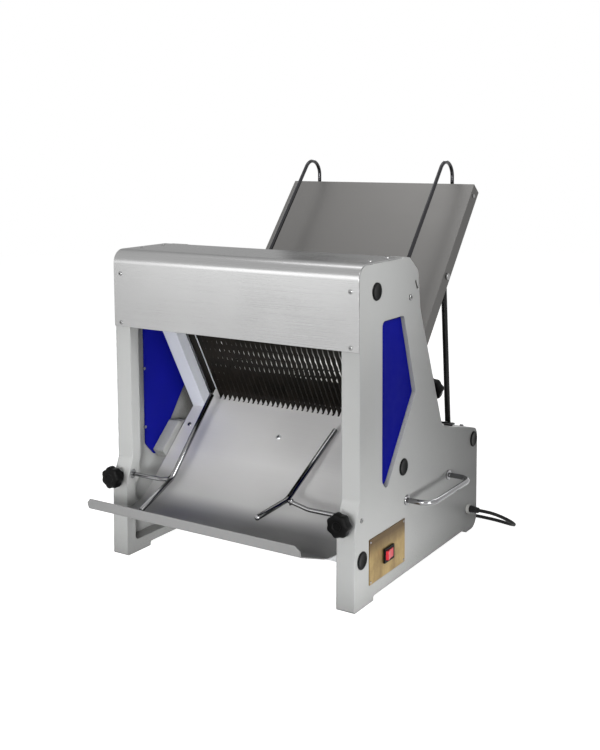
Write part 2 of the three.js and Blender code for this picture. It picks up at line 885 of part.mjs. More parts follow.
// A blade's outline in the frame of the cut. Its teeth face rearwards, up the chute, and its ends widen
// into the bars that hold it.
function bladeOutline(holdFront, holdRear) {
  const low = -bladeBottom - barHeight / 2 + tabInset;
  const high = bladeTop + barHeight / 2 - tabInset;
  const tab = barHeight - 2 * tabInset;
  const teeth = [];
  for (let i = 0; i < toothCount; i++) {
    const z = i * toothPitch - toothStart;
    teeth.push([bladeWidth, z], [bladeWidth - toothDepth, z + toothPitch / 2]);
  }
  teeth.push([bladeWidth, toothCount * toothPitch - toothStart]);
  const front = holdFront ? -barGap - tabReach : 0;
  const rear = holdRear ? rearBarFront + tabReach : bladeWidth;
  const corners = [[front, low], [rear, low]];
  if (holdRear) corners.push([rear, low + tab], [bladeWidth, low + tab]);
  corners.push(...teeth);
  if (holdRear) corners.push([bladeWidth, high - tab], [rear, high - tab]);
  corners.push([rear, high], [front, high]);
  if (holdFront) {
    corners.push([front, high - tab], [0, high - tab], [0, low + tab], [front, low + tab]);
  }
  return corners.map(([y, z]) => new THREE.Vector2(y, z));
}

// Every second blade, starting at an end or one in from it.
function blades(first, outline) {
  const list = [];
  for (let i = first; i < bladeCount; i += 2) {
    const x = (i - (bladeCount - 1) / 2) * combPitch;
    list.push(prismX(outline, [x - bladeThickness / 2, x + bladeThickness / 2]));
  }
  return list;
}

// The same span on the right and on the left.
function bothSides(x, shapeOf) {
  return [shapeOf(x), shapeOf([-x[1], -x[0]])];
}

// Lugs hang from the bottom bar to the wrists, one beside each connecting rod.
function wristLugs(rodX, [front, rear]) {
  const from = rodX + rodWidth / 2 + slack;
  const foot = -bladeBottom - barHeight / 2;
  const web = [
    [front, foot + tabInset],
    [front, foot],
    [crankAcross - lugRadius, wristAlong],
    [crankAcross + lugRadius, wristAlong],
    [rear, foot],
    [rear, foot + tabInset],
  ].map(([y, z]) => new THREE.Vector2(y, z));
  return bothSides([from, from + lugThickness], (x) =>
    join([prismX(web, x), roundX(lugRadius, x, [crankAcross, wristAlong])]),
  );
}

function bladeFrameFront() {
  const bars = [-bladeBottom, bladeTop].flatMap((z) => {
    const height = [z - barHeight / 2, z + barHeight / 2];
    const corner = [railGate - cornerWidth, railGate];
    return [
      block([-railGate, railGate], [-barRear, -barGap], height),
      ...bothSides(corner, (x) => block(x, [-barRear, slideRear], height)),
      ...bothSides([corner[0], slideOuter], (x) => block(x, [slideFront, slideRear], height)),
    ];
  });
  const ends = [-bladeBottom - barHeight / 2, bladeTop + barHeight / 2];
  return join([
    ...bars,
    ...bothSides([slideInner, slideOuter], (x) => block(x, [slideFront, slideRear], ends)),
    ...blades(0, bladeOutline(true, false)),
    ...wristLugs(frontRodX, [-barRear, -barGap]),
  ]);
}

function bladeFrameRear() {
  const bars = [-bladeBottom, bladeTop].map((z) =>
    block(
      [-slideOuter, slideOuter],
      [rearBarFront, rearBarRear],
      [z - barHeight / 2, z + barHeight / 2],
    ),
  );
  const ends = [-bladeBottom - barHeight / 2, bladeTop + barHeight / 2];
  return join([
    ...bars,
    ...bothSides([slideInner, slideOuter], (x) => block(x, [rearBarFront, rearBarRear], ends)),
    ...blades(1, bladeOutline(false, true)),
    ...wristLugs(rearRodX, [rearBarFront, rearBarRear]),
  ]);
}

function guideRail() {
  const outer = innerFace - seat;
  const base = outer - railBase;
  const lip = railInner + railLip;
  const flange = -railFront + railFlange;
  const rear = rearBarRear + slack;
  const profile = [
    [outer, -railFront],
    [outer, rear + railRearFlange + railRear],
    [base, rear + railRearFlange + railRear],
    [base, rear + railRearFlange],
    [base - railRearReach, rear + railRearFlange],
    [base - railRearReach, rear],
    [base, rear],
    [base, ribFront + railRib],
    [base - railRibReach, ribFront + railRib],
    [base - railRibReach, ribFront],
    [base, ribFront],
    [base, flange],
    [lip, flange],
    [lip, -railLipGap],
    [railInner, -railLipGap],
    [railInner, -railFront],
  ].map(([x, y]) => new THREE.Vector2(x, y));
  return prismZ(profile, [-railBelow, railAbove]);
}

// The shaft carries an eccentric for each rod: the front frame's pair opposite the rear frame's pair.
function crankshaft() {
  const end = innerFace - seat - shaftEnd;
  const eccentric = (x, side) =>
    roundX(
      eccentricRadius,
      [x - eccentricWidth / 2, x + eccentricWidth / 2],
      [side * crankThrow, 0],
      roundSides,
    );
  return join([
    roundX(shaftRadius, [-end, end], [0, 0]),
    ...[frontRodX, -frontRodX].map((x) => eccentric(x, -1)),
    ...[rearRodX, -rearRodX].map((x) => eccentric(x, 1)),
  ]);
}

// From the middle of its eccentric to the wrist of its frame. The side is where the eccentric stands.
function connectingRod(side) {
  const x = [-rodWidth / 2, rodWidth / 2];
  const through = [-rodWidth, rodWidth];
  const bore = boreRadius(eccentricRadius + slack, roundSides);
  const lean = side * Math.asin(crankThrow / rodLength);
  const shank = block(x, [-rodShank / 2, rodShank / 2], [eccentricRadius, rodLength]);
  const wrist = [-side * crankThrow, rodRise];
  const ring = roundX(bore + ringWall, x, [0, 0], roundSides);
  const eye = roundX(rodEyeRadius, x, wrist);
  return cut(join([ring, shank.rotateX(lean), eye]), [
    roundX(bore, through, [0, 0], roundSides),
    roundX(rodEyeBore, through, wrist),
  ]);
}

function bearingHousing() {
  const outer = innerFace - seat;
  const body = join([
    roundX(bearingPlate, [outer - bearingPlateDepth, outer], crankPlace, roundSides),
    roundX(bearingRadius, [outer - bearingDepth, outer], crankPlace, roundSides),
  ]);
  const bore = boreRadius(shaftRadius + slack, smallSides);
  return cut(body, [roundX(bore, [outer - bearingDepth - overrun, outer + overrun], crankPlace)]);
}

// A grooved pulley about X, with its rim between two flanges.
function pulley(radius, hubRadius) {
  const half = pulleyWidth / 2;
  const groove = beltWidth / 2 + seat;
  const root = radius - beltDepth - seat;
  const profile = [
    [0, -half],
    [radius, -half],
    [radius, -groove],
    [root, -groove],
    [root, groove],
    [radius, groove],
    [radius, half],
    [0, half],
  ].map(([r, x]) => new THREE.Vector2(r, x));
  const wheel = new THREE.LatheGeometry(profile, roundSides).rotateZ(rad(-90));
  return join([wheel, roundX(hubRadius, [-pulleyWidth, half], [0, 0])]);
}

function crankPulley() {
  const bore = boreRadius(shaftRadius + seat, smallSides);
  return cut(pulley(crankPulleyRadius, pulleyHub), [
    roundX(bore, [-pulleyWidth - overrun, pulleyWidth], [0, 0]),
  ]);
}

// The pulley on the motor's own shaft, which stands in the motor's end bell.
function motorPulley() {
  const shaftTo = motorRight - motorBore + overrun - pulleyX;
  return join([
    pulley(motorPulleyRadius, pulleyHub),
    roundX(motorShaft, [shaftTo, pulleyWidth], [0, 0]),
  ]);
}

// The outline round both pulleys, at one distance from the roots of their grooves.
function beltLine(distance) {
  const axes = new THREE.Vector2(motorY - crankPlace[0], motorZ - crankPlace[1]);
  const big = boreRadius(crankPulleyRadius - beltDepth + distance, roundSides);
  const small = boreRadius(motorPulleyRadius - beltDepth + distance, roundSides);
  const spread = Math.acos((big - small) / axes.length());
  const line = [];
  const arc = (radius, [y, z], from, to) => {
    const steps = Math.ceil(((to - from) / (2 * Math.PI)) * roundSides);
    for (let k = 0; k <= steps; k++) {
      const turn = axes.angle() + from + ((to - from) * k) / steps;
      line.push(new THREE.Vector2(y + radius * Math.cos(turn), z + radius * Math.sin(turn)));
    }
  };
  arc(big, crankPlace, spread, 2 * Math.PI - spread);
  arc(small, [motorY, motorZ], -spread, spread);
  return line;
}

function driveBelt() {
  const span = [pulleyX - beltWidth / 2, pulleyX + beltWidth / 2];
  const through = [span[0] - overrun, span[1] + overrun];
  return cut(prismX(beltLine(beltDepth - seat), span), [prismX(beltLine(0), through)]);
}

function motor() {
  const body = [motorLeft + motorBell, motorRight - motorBell];
  const centre = [motorY, motorZ];
  const shapes = [
    roundX(motorRadius, body, centre, roundSides),
    roundX(motorRadius - motorBellInset, [motorLeft, motorRight], centre, roundSides),
    block(
      [-motorFootHalf, motorFootHalf],
      [motorY - motorFootHalf, motorY + motorFootHalf],
      [motorZ - motorFoot, motorZ - motorRadius / 2],
    ),
  ];
  for (let i = 0; i < motorFinCount; i++) {
    const fin = block(
      body,
      [-motorFinWidth / 2, motorFinWidth / 2],
      [motorRadius - motorFin, motorRadius + motorFin],
    );
    shapes.push(fin.rotateX((2 * Math.PI * i) / motorFinCount).translate(0, ...centre));
  }
  const bore = boreRadius(motorShaft + slack, smallSides);
  return cut(join(shapes), [roundX(bore, [motorRight - motorBore, motorRight + overrun], centre)]);
}

// A hat-shaped bracket under the motor's foot.
function motorBracket() {
  const top = motorZ - motorFoot - seat;
  const floor = basePlateZ + basePlateSheet + seat;
  const corners = [
    [motorY - motorFootHalf - bracketFlange, floor],
    [motorY - motorFootHalf, floor, 1.5 * bracketSheet],
    [motorY - motorFootHalf, top - bracketSheet, 1.5 * bracketSheet],
    [motorY + motorFootHalf, top - bracketSheet, 1.5 * bracketSheet],
    [motorY + motorFootHalf, floor, 1.5 * bracketSheet],
    [motorY + motorFootHalf + bracketFlange, floor],
  ];
  return sheet(corners, bracketSheet, [-bracketHalfLength, bracketHalfLength], 3);
}

function basePlate() {
  const half = innerFace - seat;
  const rear = castingLength - rearCoverInset - rearCoverSheet - seat;
  const corners = [
    [basePlateFront, basePlateZ + basePlateLip],
    [basePlateFront, basePlateZ, basePlateBend],
    [rear, basePlateZ, basePlateBend],
    [rear, basePlateZ + basePlateRearLip],
  ];
  return sheet(corners, basePlateSheet, [-half, half]);
}

// Height of the castings' box along its sloping top.
const boxFall = (boxFrontHeight - boxRearHeight) / (castingLength - boxFrontY);
function boxTop(y) {
  return boxRearHeight + (castingLength - y) * boxFall;
}

// Follows the castings' box: over its sloping top and down its back, with louvres in the back.
function rearCover() {
  const half = innerFace - seat;
  const back = castingLength - rearCoverInset;
  const corners = [
    [rearCoverFront, boxTop(rearCoverFront)],
    [back, boxTop(back), boxRearBend],
    [back, rearCoverFoot],
  ];
  const louvres = Array.from({ length: louvreCount }, (_, i) => {
    const z = louvreTop - i * louvrePitch;
    const y = [back - rearCoverSheet - overrun, back + overrun];
    return block([-louvreWidth / 2, louvreWidth / 2], y, [z - louvreHeight, z]);
  });
  return cut(sheet(corners, -rearCoverSheet, [-half, half]), louvres);
}

function tieBar(place) {
  const ends = innerFace - seat;
  const head = halfWidth - counterbore + seat;
  return join([
    roundX(tieRadius, [-ends, ends], place),
    roundX(tieBolt, [-head, head], place),
    ...bothSides([head, head + tieHead], (x) => roundX(tieHeadRadius, x, place)),
  ]);
}

function cap(place) {
  return join([
    roundX(capRadius, [halfWidth, halfWidth + capHeight], place, roundSides),
    roundX(tieHeadRadius, [halfWidth - capPlug, halfWidth], place),
  ]);
}

// One rod: through the casting, up beside the tray's lower end, up the chute and over the tray's top.
function infeedGuide() {
  const x = infeedHalfWidth - infeedGuideInset;
  const slope = new THREE.Vector3(0, Math.cos(rad(chuteAngle)), Math.sin(rad(chuteAngle)));
  const foot = point(x, onChute(infeedArmDown, infeedGuideHeight));
  const top = foot.clone().addScaledVector(slope, (hookTailY - foot.y) / slope.y);
  const corners = [
    point(armEnd, infeedArm),
    point(x, infeedArm),
    foot,
    top,
    point(x, [hookTailY, hookTailZ]),
  ];
  return tube(bent(corners, [infeedBend, infeedBend, hookBend]), infeedRodRadius);
}

// In the arm's own frame: the rear half of the rod runs along Y, above the arm's axis.
function outfeedGuide() {
  const x = outfeedGuideX;
  const kink = rad(180 - outfeedKink);
  const front = [
    outfeedFrontLength * Math.cos(kink),
    outfeedArmRise + outfeedFrontLength * Math.sin(kink),
  ];
  const rod = [
    point(x, [outfeedRearLength, outfeedArmRise]),
    point(x, [0, outfeedArmRise]),
    point(x, front),
  ];
  const arm = [
    point(armEnd, [0, 0]),
    point(x + outfeedArmRun, [0, 0]),
    point(x, [0, outfeedArmRise - outfeedRodRadius / 2]),
  ];
  return join([
    tube(bent(rod, [outfeedKinkBend]), outfeedRodRadius),
    tube(bent(arm, [outfeedArmBend]), outfeedArmRadius),
  ]);
}

// A split bush, closed on the arm by the knob's screw.
function armBush() {
  const x = [innerFace + seat, bushEnd];
  const through = [x[0] - overrun, x[1] + overrun];
  return cut(roundX(bushRadius, x, [0, 0]), [
    roundX(boreRadius(outfeedArmRadius + seat, smallSides), through, [0, 0]),
    block(through, [0, bushRadius + overrun], [-bushSlit / 2, bushSlit / 2]),
  ]);
}

// A star knob about Z, with its screw. Z is zero on the arm's axis.
function starKnob(arm, face) {
  const base = face + knobGap;
  const star = [];
  for (let i = 0; i < knobLobes * knobLobeSteps; i++) {
    const turn = (2 * Math.PI * i) / (knobLobes * knobLobeSteps);
    const radius = knobRadius - (knobLobeDepth * (1 - Math.cos(knobLobes * turn))) / 2;
    star.push(new THREE.Vector2(radius * Math.cos(turn), radius * Math.sin(turn)));
  }
  const top = base + knobHubLength + knobThickness;
  return join([
    prismZ(circle(knobScrew, smallSides), [arm + seat, base + knobHubLength]),
    prismZ(circle(knobHub, smallSides), [base, base + knobHubLength]),
    prismZ(star, [base + knobHubLength, top]),
  ]);
}

// A strut with a foot on the rear cover, pinned to the infeed tray's flange.
function trayStrut() {
  const x = infeedHalfWidth - traySheet - seat - strutRadius;
  const slope = Math.atan(boxFall);
  const rise = (seat + strutFootSheet / 2) / Math.cos(slope);
  const top = point(x, onChute(strutTopDown, -strutTopDrop));
  const footY = castingLength - strutFootInset;
  const foot = point(x, [footY, boxTop(footY) + rise]);
  const lean = top.clone().sub(foot).normalize();
  const plate = block(
    [-strutFootWidth / 2, strutFootWidth / 2],
    [-strutFootLength / 2, strutFootLength / 2],
    [-strutFootSheet / 2, strutFootSheet / 2],
  );
  const pinEnd = infeedHalfWidth + seat;
  const place = [top.y, top.z];
  return join([
    tube([foot, top.clone().addScaledVector(lean, strutTopPass)], strutRadius),
    plate.rotateX(-slope).translate(...foot.toArray()),
    roundX(strutPin, [x, pinEnd + strutPinHeadLength], place),
    roundX(strutPinHead, [pinEnd, pinEnd + strutPinHeadLength], place),
  ]);
}

function sideHandle() {
  const out = halfWidth + handleReach;
  const [front, rear] = [handleY, handleY + handleSpan];
  const corners = [
    point(halfWidth + handleFootHeight / 2, [front, handleZ]),
    point(out, [front, handleZ]),
    point(out, [rear, handleZ]),
    point(halfWidth + handleFootHeight / 2, [rear, handleZ]),
  ];
  const foot = [halfWidth, halfWidth + handleFootHeight];
  return join([
    tube(bent(corners, [handleBend, handleBend]), handleRadius),
    ...[front, rear].map((y) => roundX(handleFoot, foot, [y, handleZ])),
  ]);
}

function namePlate() {
  const x = [halfWidth, halfWidth + plateSheet];
  const plate = block(x, [plateFront, plateFront + plateLength], [plateZ, plateZ + plateHeight]);
  return cut(plate, [switchHole(halfWidth - overrun, x[1] + overrun)]);
}

const switchFace = halfWidth + plateSheet + switchFlange;
const wellLength = switchLength / 2 - 2 * switchWall - seat;
const wellHeight = switchHeight / 2 - 2 * switchWall - seat;

function switchBezel() {
  const around = (x, y, z) => block(x, [switchY - y, switchY + y], [switchZ - z, switchZ + z]);
  const body = join([
    around([switchFace - switchFlange, switchFace], switchLength / 2, switchHeight / 2),
    around([switchFace - switchBody, switchFace], wellLength + switchWall, wellHeight + switchWall),
  ]);
  const well = around([switchFace - switchWell, switchFace + overrun], wellLength, wellHeight);
  return cut(body, [well]);
}

// Seen from above: its ends are arcs about the pivot, and its face is a shallow valley.
function rocker() {
  const radius = wellLength - rockerGap;
  const start = Math.asin(-rockerDrop / radius);
  const end = Math.asin(rockerEndRise / radius);
  const outline = [];
  for (let k = 0; k <= arcSteps; k++) {
    const turn = start + ((end - start) * k) / arcSteps;
    outline.push(new THREE.Vector2(radius * Math.sin(turn), radius * Math.cos(turn)));
  }
  const lower = outline.map(({ x, y }) => new THREE.Vector2(x, -y)).reverse();
  outline.push(new THREE.Vector2(rockerRise, 0), ...lower);
  const half = wellHeight - rockerGap;
  return prismZ(outline, [-half, half]);
}

// Moves a piece that is drawn about its own joint's axis to that axis.
function placed(mesh, [x, y, z]) {
  mesh.position.set(x, y, z);
  return mesh;
}

pair("side_frame", sideFrame, castPaint, machine);
pair("window_panel", windowPanel, bluePaint, machine);
piece("front_cover", frontCover(), stainless, machine);
piece("rear_guard", rearGuard(), stainless, machine);
piece("infeed_tray", infeedTray(), stainless, chuteGroup);
piece("outfeed_tray", outfeedTray(), stainless, machine);
pair("guide_rail", guideRail, whitePaint, cutGroup);
piece("blade_frame_front", bladeFrameFront(), bladeSteel, cutGroup);
piece("blade_frame_rear", bladeFrameRear(), bladeSteel, cutGroup);

for (const [name, place] of Object.entries(tiePlaces)) {
  piece("tie_bar_" + name, tieBar(place), galvanised, machine);
  pair("cap_" + name, () => cap(place), blackPlastic, machine);
}

const crankGroup = new THREE.Group();
crankGroup.position.set(0, crankAcross, crankAlong);
cutGroup.add(crankGroup);
piece("crankshaft", crankshaft(), machinedSteel, crankGroup);
for (const [name, x, side] of [
  ["front", frontRodX, -1],
  ["rear", rearRodX, 1],
]) {
  for (const [hand, sign] of [
    ["right", 1],
    ["left", -1],
  ]) {
    const rod = piece("rod_" + name + "_" + hand, connectingRod(side), machinedSteel, crankGroup);
    placed(rod, [sign * x, side * crankThrow, 0]);
  }
}
pair("bearing_housing", bearingHousing, castPaint, machine);
placed(piece("crank_pulley", crankPulley(), machinedSteel, machine), [pulleyX, ...crankPlace]);
placed(piece("motor_pulley", motorPulley(), machinedSteel, machine), [pulleyX, motorY, motorZ]);
piece("drive_belt", driveBelt(), rubber, machine);
piece("motor", motor(), motorPaint, machine);
piece("motor_bracket", motorBracket(), galvanised, machine);
piece("base_plate", basePlate(), galvanised, machine);
piece("rear_cover", rearCover(), castPaint, machine);

pair("infeed_guide", infeedGuide, darkRod, machine);
pair("tray_strut", trayStrut, blackPaint, machine);
pair("side_handle", sideHandle, chrome, machine);
for (const [hand, sign, tilt] of [
  ["right", 1, outfeedTiltRight],
  ["left", -1, outfeedTiltLeft],
]) {
  const armGroup = new THREE.Group();
  armGroup.position.set(0, outfeedArmY, outfeedArmZ);
  armGroup.scale.x = sign;
  machine.add(armGroup);
  const guide = piece("outfeed_guide_" + hand, outfeedGuide(), chrome, armGroup);
  guide.rotation.x = rad(tilt);
  piece("arm_bush_" + hand, armBush(), machinedSteel, armGroup);
  for (const [name, arm, { axis, face }, stem] of [
    ["infeed", infeedArm, infeedKnob, infeedRodRadius],
    ["outfeed", outfeedArm, outfeedKnob, bushRadius],
  ]) {
    const knob = piece(name + "_knob_" + hand, starKnob(stem, face), blackPlastic, machine);
    placed(knob, [sign * knobX, ...arm]);
    knob.rotation.x = Math.atan2(-axis[0], axis[1]);
  }
}

piece("name_plate", namePlate(), brass, machine);
piece("switch_bezel", switchBezel(), blackPlastic, machine);
const rockerMesh = piece("rocker", rocker(), redPlastic, machine);
placed(rockerMesh, [switchFace - rockerPivotDepth, switchY, switchZ]);
rockerMesh.rotation.z = rad(rockerTilt);

// Cord: out of the gland, down to the floor, round behind the machine and into a coil in two layers.
const cord = new THREE.Group();
const cordZ = cordRadius + cordLift;
const coilOuter = coilRadius + (coilPitch * coilTurns) / 4;
const plugCentre = [coilY + coilOuter, plugRadius + cordLift];

function gland() {
  const place = [glandY, glandZ];
  const collar = halfWidth + glandCollar;
  return join([
    roundX(glandStem, [halfWidth - glandStemLength, halfWidth], place),
    roundX(glandRadius, [halfWidth, collar], place),
    roundX(glandNeck, [collar, halfWidth + glandLength], place, smallSides, glandNose),
  ]);
}

// Chosen places along the free stretch, from the gland to where the coil starts.
const cordRoute = [
  [301.3, 452.5, 50],
  [308.3, 452.5, 50],
  [324, 453.2, 49.4],
  [341, 457, 45.5],
  [354, 466, 38],
  [361, 480, 28.5],
  [361, 496, 19],
  [354, 512, 11],
  [341, 525.5, 6],
  [323, 534.5, 3.9],
  [302, 539.5, 3.6],
  [270, 542.2, 3.6],
  [215, 542.8, 3.6],
  [150, 542.81, 3.6],
  [85, 542.81, 3.6],
  [20, 542.81, 3.6],
  [-25.7, 542.81, 3.6],
  [-32.7, 542.81, 3.6],
];

function stretchLine() {
  const points = cordRoute.map((place) => new THREE.Vector3(...place));
  const curve = new THREE.CatmullRomCurve3(points, false, "centripetal");
  const middle = curve.getSpacedPoints(Math.round(curve.getLength() / (6 * cordRadius)));
  const ends = [points[0], points.at(-1)];
  const apart = middle.filter((p) => ends.every((end) => p.distanceTo(end) > 2 * cordEnd));
  return [points[0], points[1], ...apart, points.at(-2), points.at(-1)];
}

// Turns run clockwise from the front, spiral in on the floor, climb where the spiral reverses and
// spiral out again on top.
function coilLine() {
  const half = coilTurns / 2;
  const line = [new THREE.Vector3(coilX + cordEnd, coilY - coilOuter, cordZ)];
  for (let k = 0; k <= coilTurns * coilSteps; k++) {
    const t = k / coilSteps;
    const radius = coilOuter - coilPitch * (half - Math.abs(t - half));
    const turn = -Math.PI / 2 - 2 * Math.PI * t;
    const z = cordZ + coilPitch * THREE.MathUtils.smoothstep(2 * (t - half), -1 / 2, 1 / 2);
    line.push(new THREE.Vector3(coilX + radius * Math.cos(turn), coilY + radius * Math.sin(turn), z));
  }
  const [rear, axis] = plugCentre;
  line.push(new THREE.Vector3(coilX + plugRun / 2, rear, (cordZ + coilPitch + axis) / 2));
  line.push(new THREE.Vector3(coilX + plugRun - cordEnd, rear, axis));
  line.push(new THREE.Vector3(coilX + plugRun, rear, axis));
  return line;
}

// The least gap between the coil's turns, measured between points at least half a turn apart.
function leastGap(line) {
  let least = Infinity;
  line.forEach((a, i) => {
    for (let j = i + coilSteps / 2; j < line.length; j++) {
      least = Math.min(least, a.distanceTo(line[j]));
    }
  });
  return least - 2 * cordRadius;
}

// A two-pin plug lying along X.
function plug() {
  const start = coilX + plugRun + seat;
  const body = start + plugNeckLength;
  const end = body + plugLength;
  const shoulder = body + plugRadius / 2;
  return join([
    roundX(plugNeck, [start, body], plugCentre),
    roundX(plugNeck + plugNeck / 2, [body, shoulder], plugCentre, roundSides, plugRadius),
    roundX(plugRadius, [shoulder, end], plugCentre, roundSides),
    ...[-pinSpread, pinSpread].map((y) =>
      roundX(pinRadius, [end, end + pinLength], [plugCentre[0] + y, plugCentre[1]]),
    ),
  ]);
}

const stretchPoints = stretchLine();
const coilPoints = coilLine();
const lengthOf = (line) => line.reduce((sum, p, i) => (i ? sum + p.distanceTo(line[i - 1]) : 0), 0);
piece("cord_gland", gland(), greyPlastic, cord);
piece("cord_stretch", tube(stretchPoints, cordRadius, cordSides), rubber, cord);
piece("cord_coil", tube(coilPoints, cordRadius, cordSides), rubber, cord);
piece("cord_plug", plug(), blackPlastic, cord);
console.log("least gap between the coil's turns, mm:", leastGap(coilPoints).toFixed(2));
console.log("cord length, mm:", (lengthOf(stretchPoints) + lengthOf(coilPoints)).toFixed(0));

// The origin is on the floor, under the middle of the machine.
const extent = new THREE.Box3().setFromObject(machine, true);
const group = new THREE.Group();
group.add(machine, cord);
group.position.y = -(extent.min.y + extent.max.y) / 2;

export default group;
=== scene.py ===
import json
import math

import bpy
import bmesh
from mathutils import Matrix, Vector


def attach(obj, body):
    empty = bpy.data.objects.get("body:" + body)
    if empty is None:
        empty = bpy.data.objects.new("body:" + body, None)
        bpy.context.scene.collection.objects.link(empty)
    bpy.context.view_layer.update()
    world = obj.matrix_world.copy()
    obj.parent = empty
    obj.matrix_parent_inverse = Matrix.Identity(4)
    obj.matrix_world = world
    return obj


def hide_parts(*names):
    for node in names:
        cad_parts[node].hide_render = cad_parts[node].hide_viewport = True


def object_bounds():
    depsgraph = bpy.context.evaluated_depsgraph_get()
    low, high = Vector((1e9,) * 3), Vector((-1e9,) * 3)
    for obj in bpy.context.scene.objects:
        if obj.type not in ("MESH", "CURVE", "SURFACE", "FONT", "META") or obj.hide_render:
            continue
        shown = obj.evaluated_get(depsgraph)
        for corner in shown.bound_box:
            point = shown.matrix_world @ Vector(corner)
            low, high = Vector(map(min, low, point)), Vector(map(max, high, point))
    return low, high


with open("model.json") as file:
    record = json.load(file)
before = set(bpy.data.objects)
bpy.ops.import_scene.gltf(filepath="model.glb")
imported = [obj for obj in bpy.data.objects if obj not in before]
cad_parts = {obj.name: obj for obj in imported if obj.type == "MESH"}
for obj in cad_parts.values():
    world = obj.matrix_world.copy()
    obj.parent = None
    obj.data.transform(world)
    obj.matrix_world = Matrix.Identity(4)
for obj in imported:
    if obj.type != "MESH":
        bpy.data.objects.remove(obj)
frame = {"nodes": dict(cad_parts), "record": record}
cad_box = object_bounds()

# Sizes of the machine, in metres. Places are (Y, Z), with Y measured from the front of the cover, as in the
# part's source.
COVER_FRONT = -0.2342957  # that front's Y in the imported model
HALF_WIDTH = 0.275
CASTING_DEPTH = 0.036
COVER_HEIGHT = 0.6024
PANEL_FACE = 0.2637  # X of the window panels' faces
INNER_FACE = 0.239  # X of the castings' inner faces
SEAT = 0.0003  # gap between pieces that bear on each other
NAPE = (0.230, 0.500)
BOX_FRONT, BOX_REAR = (0.3295, 0.2508), (0.4985, 0.211)  # the drive box's top edges
BOX_FALL = (BOX_FRONT[1] - BOX_REAR[1]) / (BOX_REAR[0] - BOX_FRONT[0])
TOE_FACE = -0.014  # Y of the castings' front faces by the outfeed guides
CHUTE_ANGLE = math.radians(50.4)
CHUTE_UP = Vector((0, math.cos(CHUTE_ANGLE), math.sin(CHUTE_ANGLE)))
CHUTE_TOP = (0.5752, 0.7183)
TRAY_SHEET, TRAY_HALF_WIDTH = 0.0018, 0.2287
CUT = (0.21123, 0.27834)  # where the chute meets the blades' front edges
TROUGH = (0.0057, 0.0822)
TRAY_RUN = Vector((0, TROUGH[0] - CUT[0], TROUGH[1] - CUT[1])).normalized()
TRAY_UP = Vector((0, TRAY_RUN.z, -TRAY_RUN.y))
INFEED_ARM, OUTFEED_ARM = (0.2745, 0.3078), (0.003, 0.161)
ARM_END = 0.262  # X where the guides' arms end in the castings
TIES = {
    "top": (0.062, 0.551),
    "tray": (0.1638, 0.2136),
    "trough": (0.0102, 0.0873),
    "rear": (0.479, 0.1915),
}
SIDES = (("right", 1), ("left", -1))
nodes = frame["nodes"]
scene = bpy.context.scene


def at(x, y, z):
    """A place of the part's source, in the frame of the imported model."""
    return Vector((x, y + COVER_FRONT, z))


def on_chute(x, down, rise):
    """A place down the infeed tray from its top edge, and off its face."""
    c, s = math.cos(CHUTE_ANGLE), math.sin(CHUTE_ANGLE)
    return at(x, CHUTE_TOP[0] - down * c - rise * s, CHUTE_TOP[1] - down * s + rise * c)


def on_tray(x, down, rise):
    """A place down the outfeed tray from the blades' front edges, and off its face."""
    return at(x, *CUT) + TRAY_RUN * down + TRAY_UP * rise


def box_top(y):
    return BOX_REAR[1] + (BOX_REAR[0] - y) * BOX_FALL


def new_object(name, data):
    obj = bpy.data.objects.new(name, data)
    scene.collection.objects.link(obj)
    return obj


# Camera, from the lines of the castings and the cover in the photograph. Pixels count from its top left.
PHOTO_WIDTH, PHOTO_HEIGHT = 600, 750
OPTICAL_AXIS_PIXEL = (323.77, 250)
FOCAL_PIXELS = 1084.54
CAMERA_PLACE = (1.17606, -1.80202, 0.80709)
CAMERA_DIP, CAMERA_ROLL, CAMERA_TURN = 5.635, 0.177, 31.735  # degrees

camera_data = bpy.data.cameras.new("camera")
camera = new_object("camera", camera_data)
camera.location = CAMERA_PLACE
camera.rotation_mode = "XYZ"
camera.rotation_euler = [math.radians(d) for d in (90 - CAMERA_DIP, CAMERA_ROLL, CAMERA_TURN)]
camera_data.sensor_width = 36
camera_data.lens = FOCAL_PIXELS * camera_data.sensor_width / PHOTO_HEIGHT
camera_data.shift_x = (PHOTO_WIDTH / 2 - OPTICAL_AXIS_PIXEL[0]) / PHOTO_HEIGHT
camera_data.shift_y = (OPTICAL_AXIS_PIXEL[1] - PHOTO_HEIGHT / 2) / PHOTO_HEIGHT
camera_data.clip_start = 0.05
camera_data.clip_end = 50
scene.camera = camera


# Meshes.
SHARP_ANGLE = math.radians(38)
END_ROUND = 0.35  # rounding of a rod's ends, as a share of its radius


def mesh_object(name, vertices, faces):
    mesh = bpy.data.meshes.new(name)
    mesh.from_pydata([tuple(v) for v in vertices], [], faces)
    mesh.update()
    mesh.shade_smooth()
    mesh.set_sharp_from_angle(angle=SHARP_ANGLE)
    return new_object(name, mesh)


def fix_normals(obj):
    bm = bmesh.new()
    bm.from_mesh(obj.data)
    bmesh.ops.recalc_face_normals(bm, faces=bm.faces)
    bm.to_mesh(obj.data)
    bm.free()
    obj.data.update()


def circle(sides):
    return [2 * math.pi * k / sides for k in range(sides)]


def bent(corners, bends, step=7):
    """Straight runs between corners, with each inner corner bent to a radius."""
    points = [corners[0]]
    for before, here, after, bend in zip(corners, corners[1:], corners[2:], bends):
        back, on = (before - here).normalized(), (after - here).normalized()
        half = back.angle(on) / 2
        centre = here + (back + on).normalized() * (bend / math.sin(half))
        start = here + back * (bend / math.tan(half)) - centre
        end = here + on * (bend / math.tan(half)) - centre
        turn = start.angle(end)
        steps = max(2, math.ceil(math.degrees(turn) / step))
        for k in range(steps + 1):
            arm = start * math.sin((1 - k / steps) * turn) + end * math.sin(k / steps * turn)
            points.append(centre + arm / math.sin(turn))
    points.append(corners[-1])
    return points


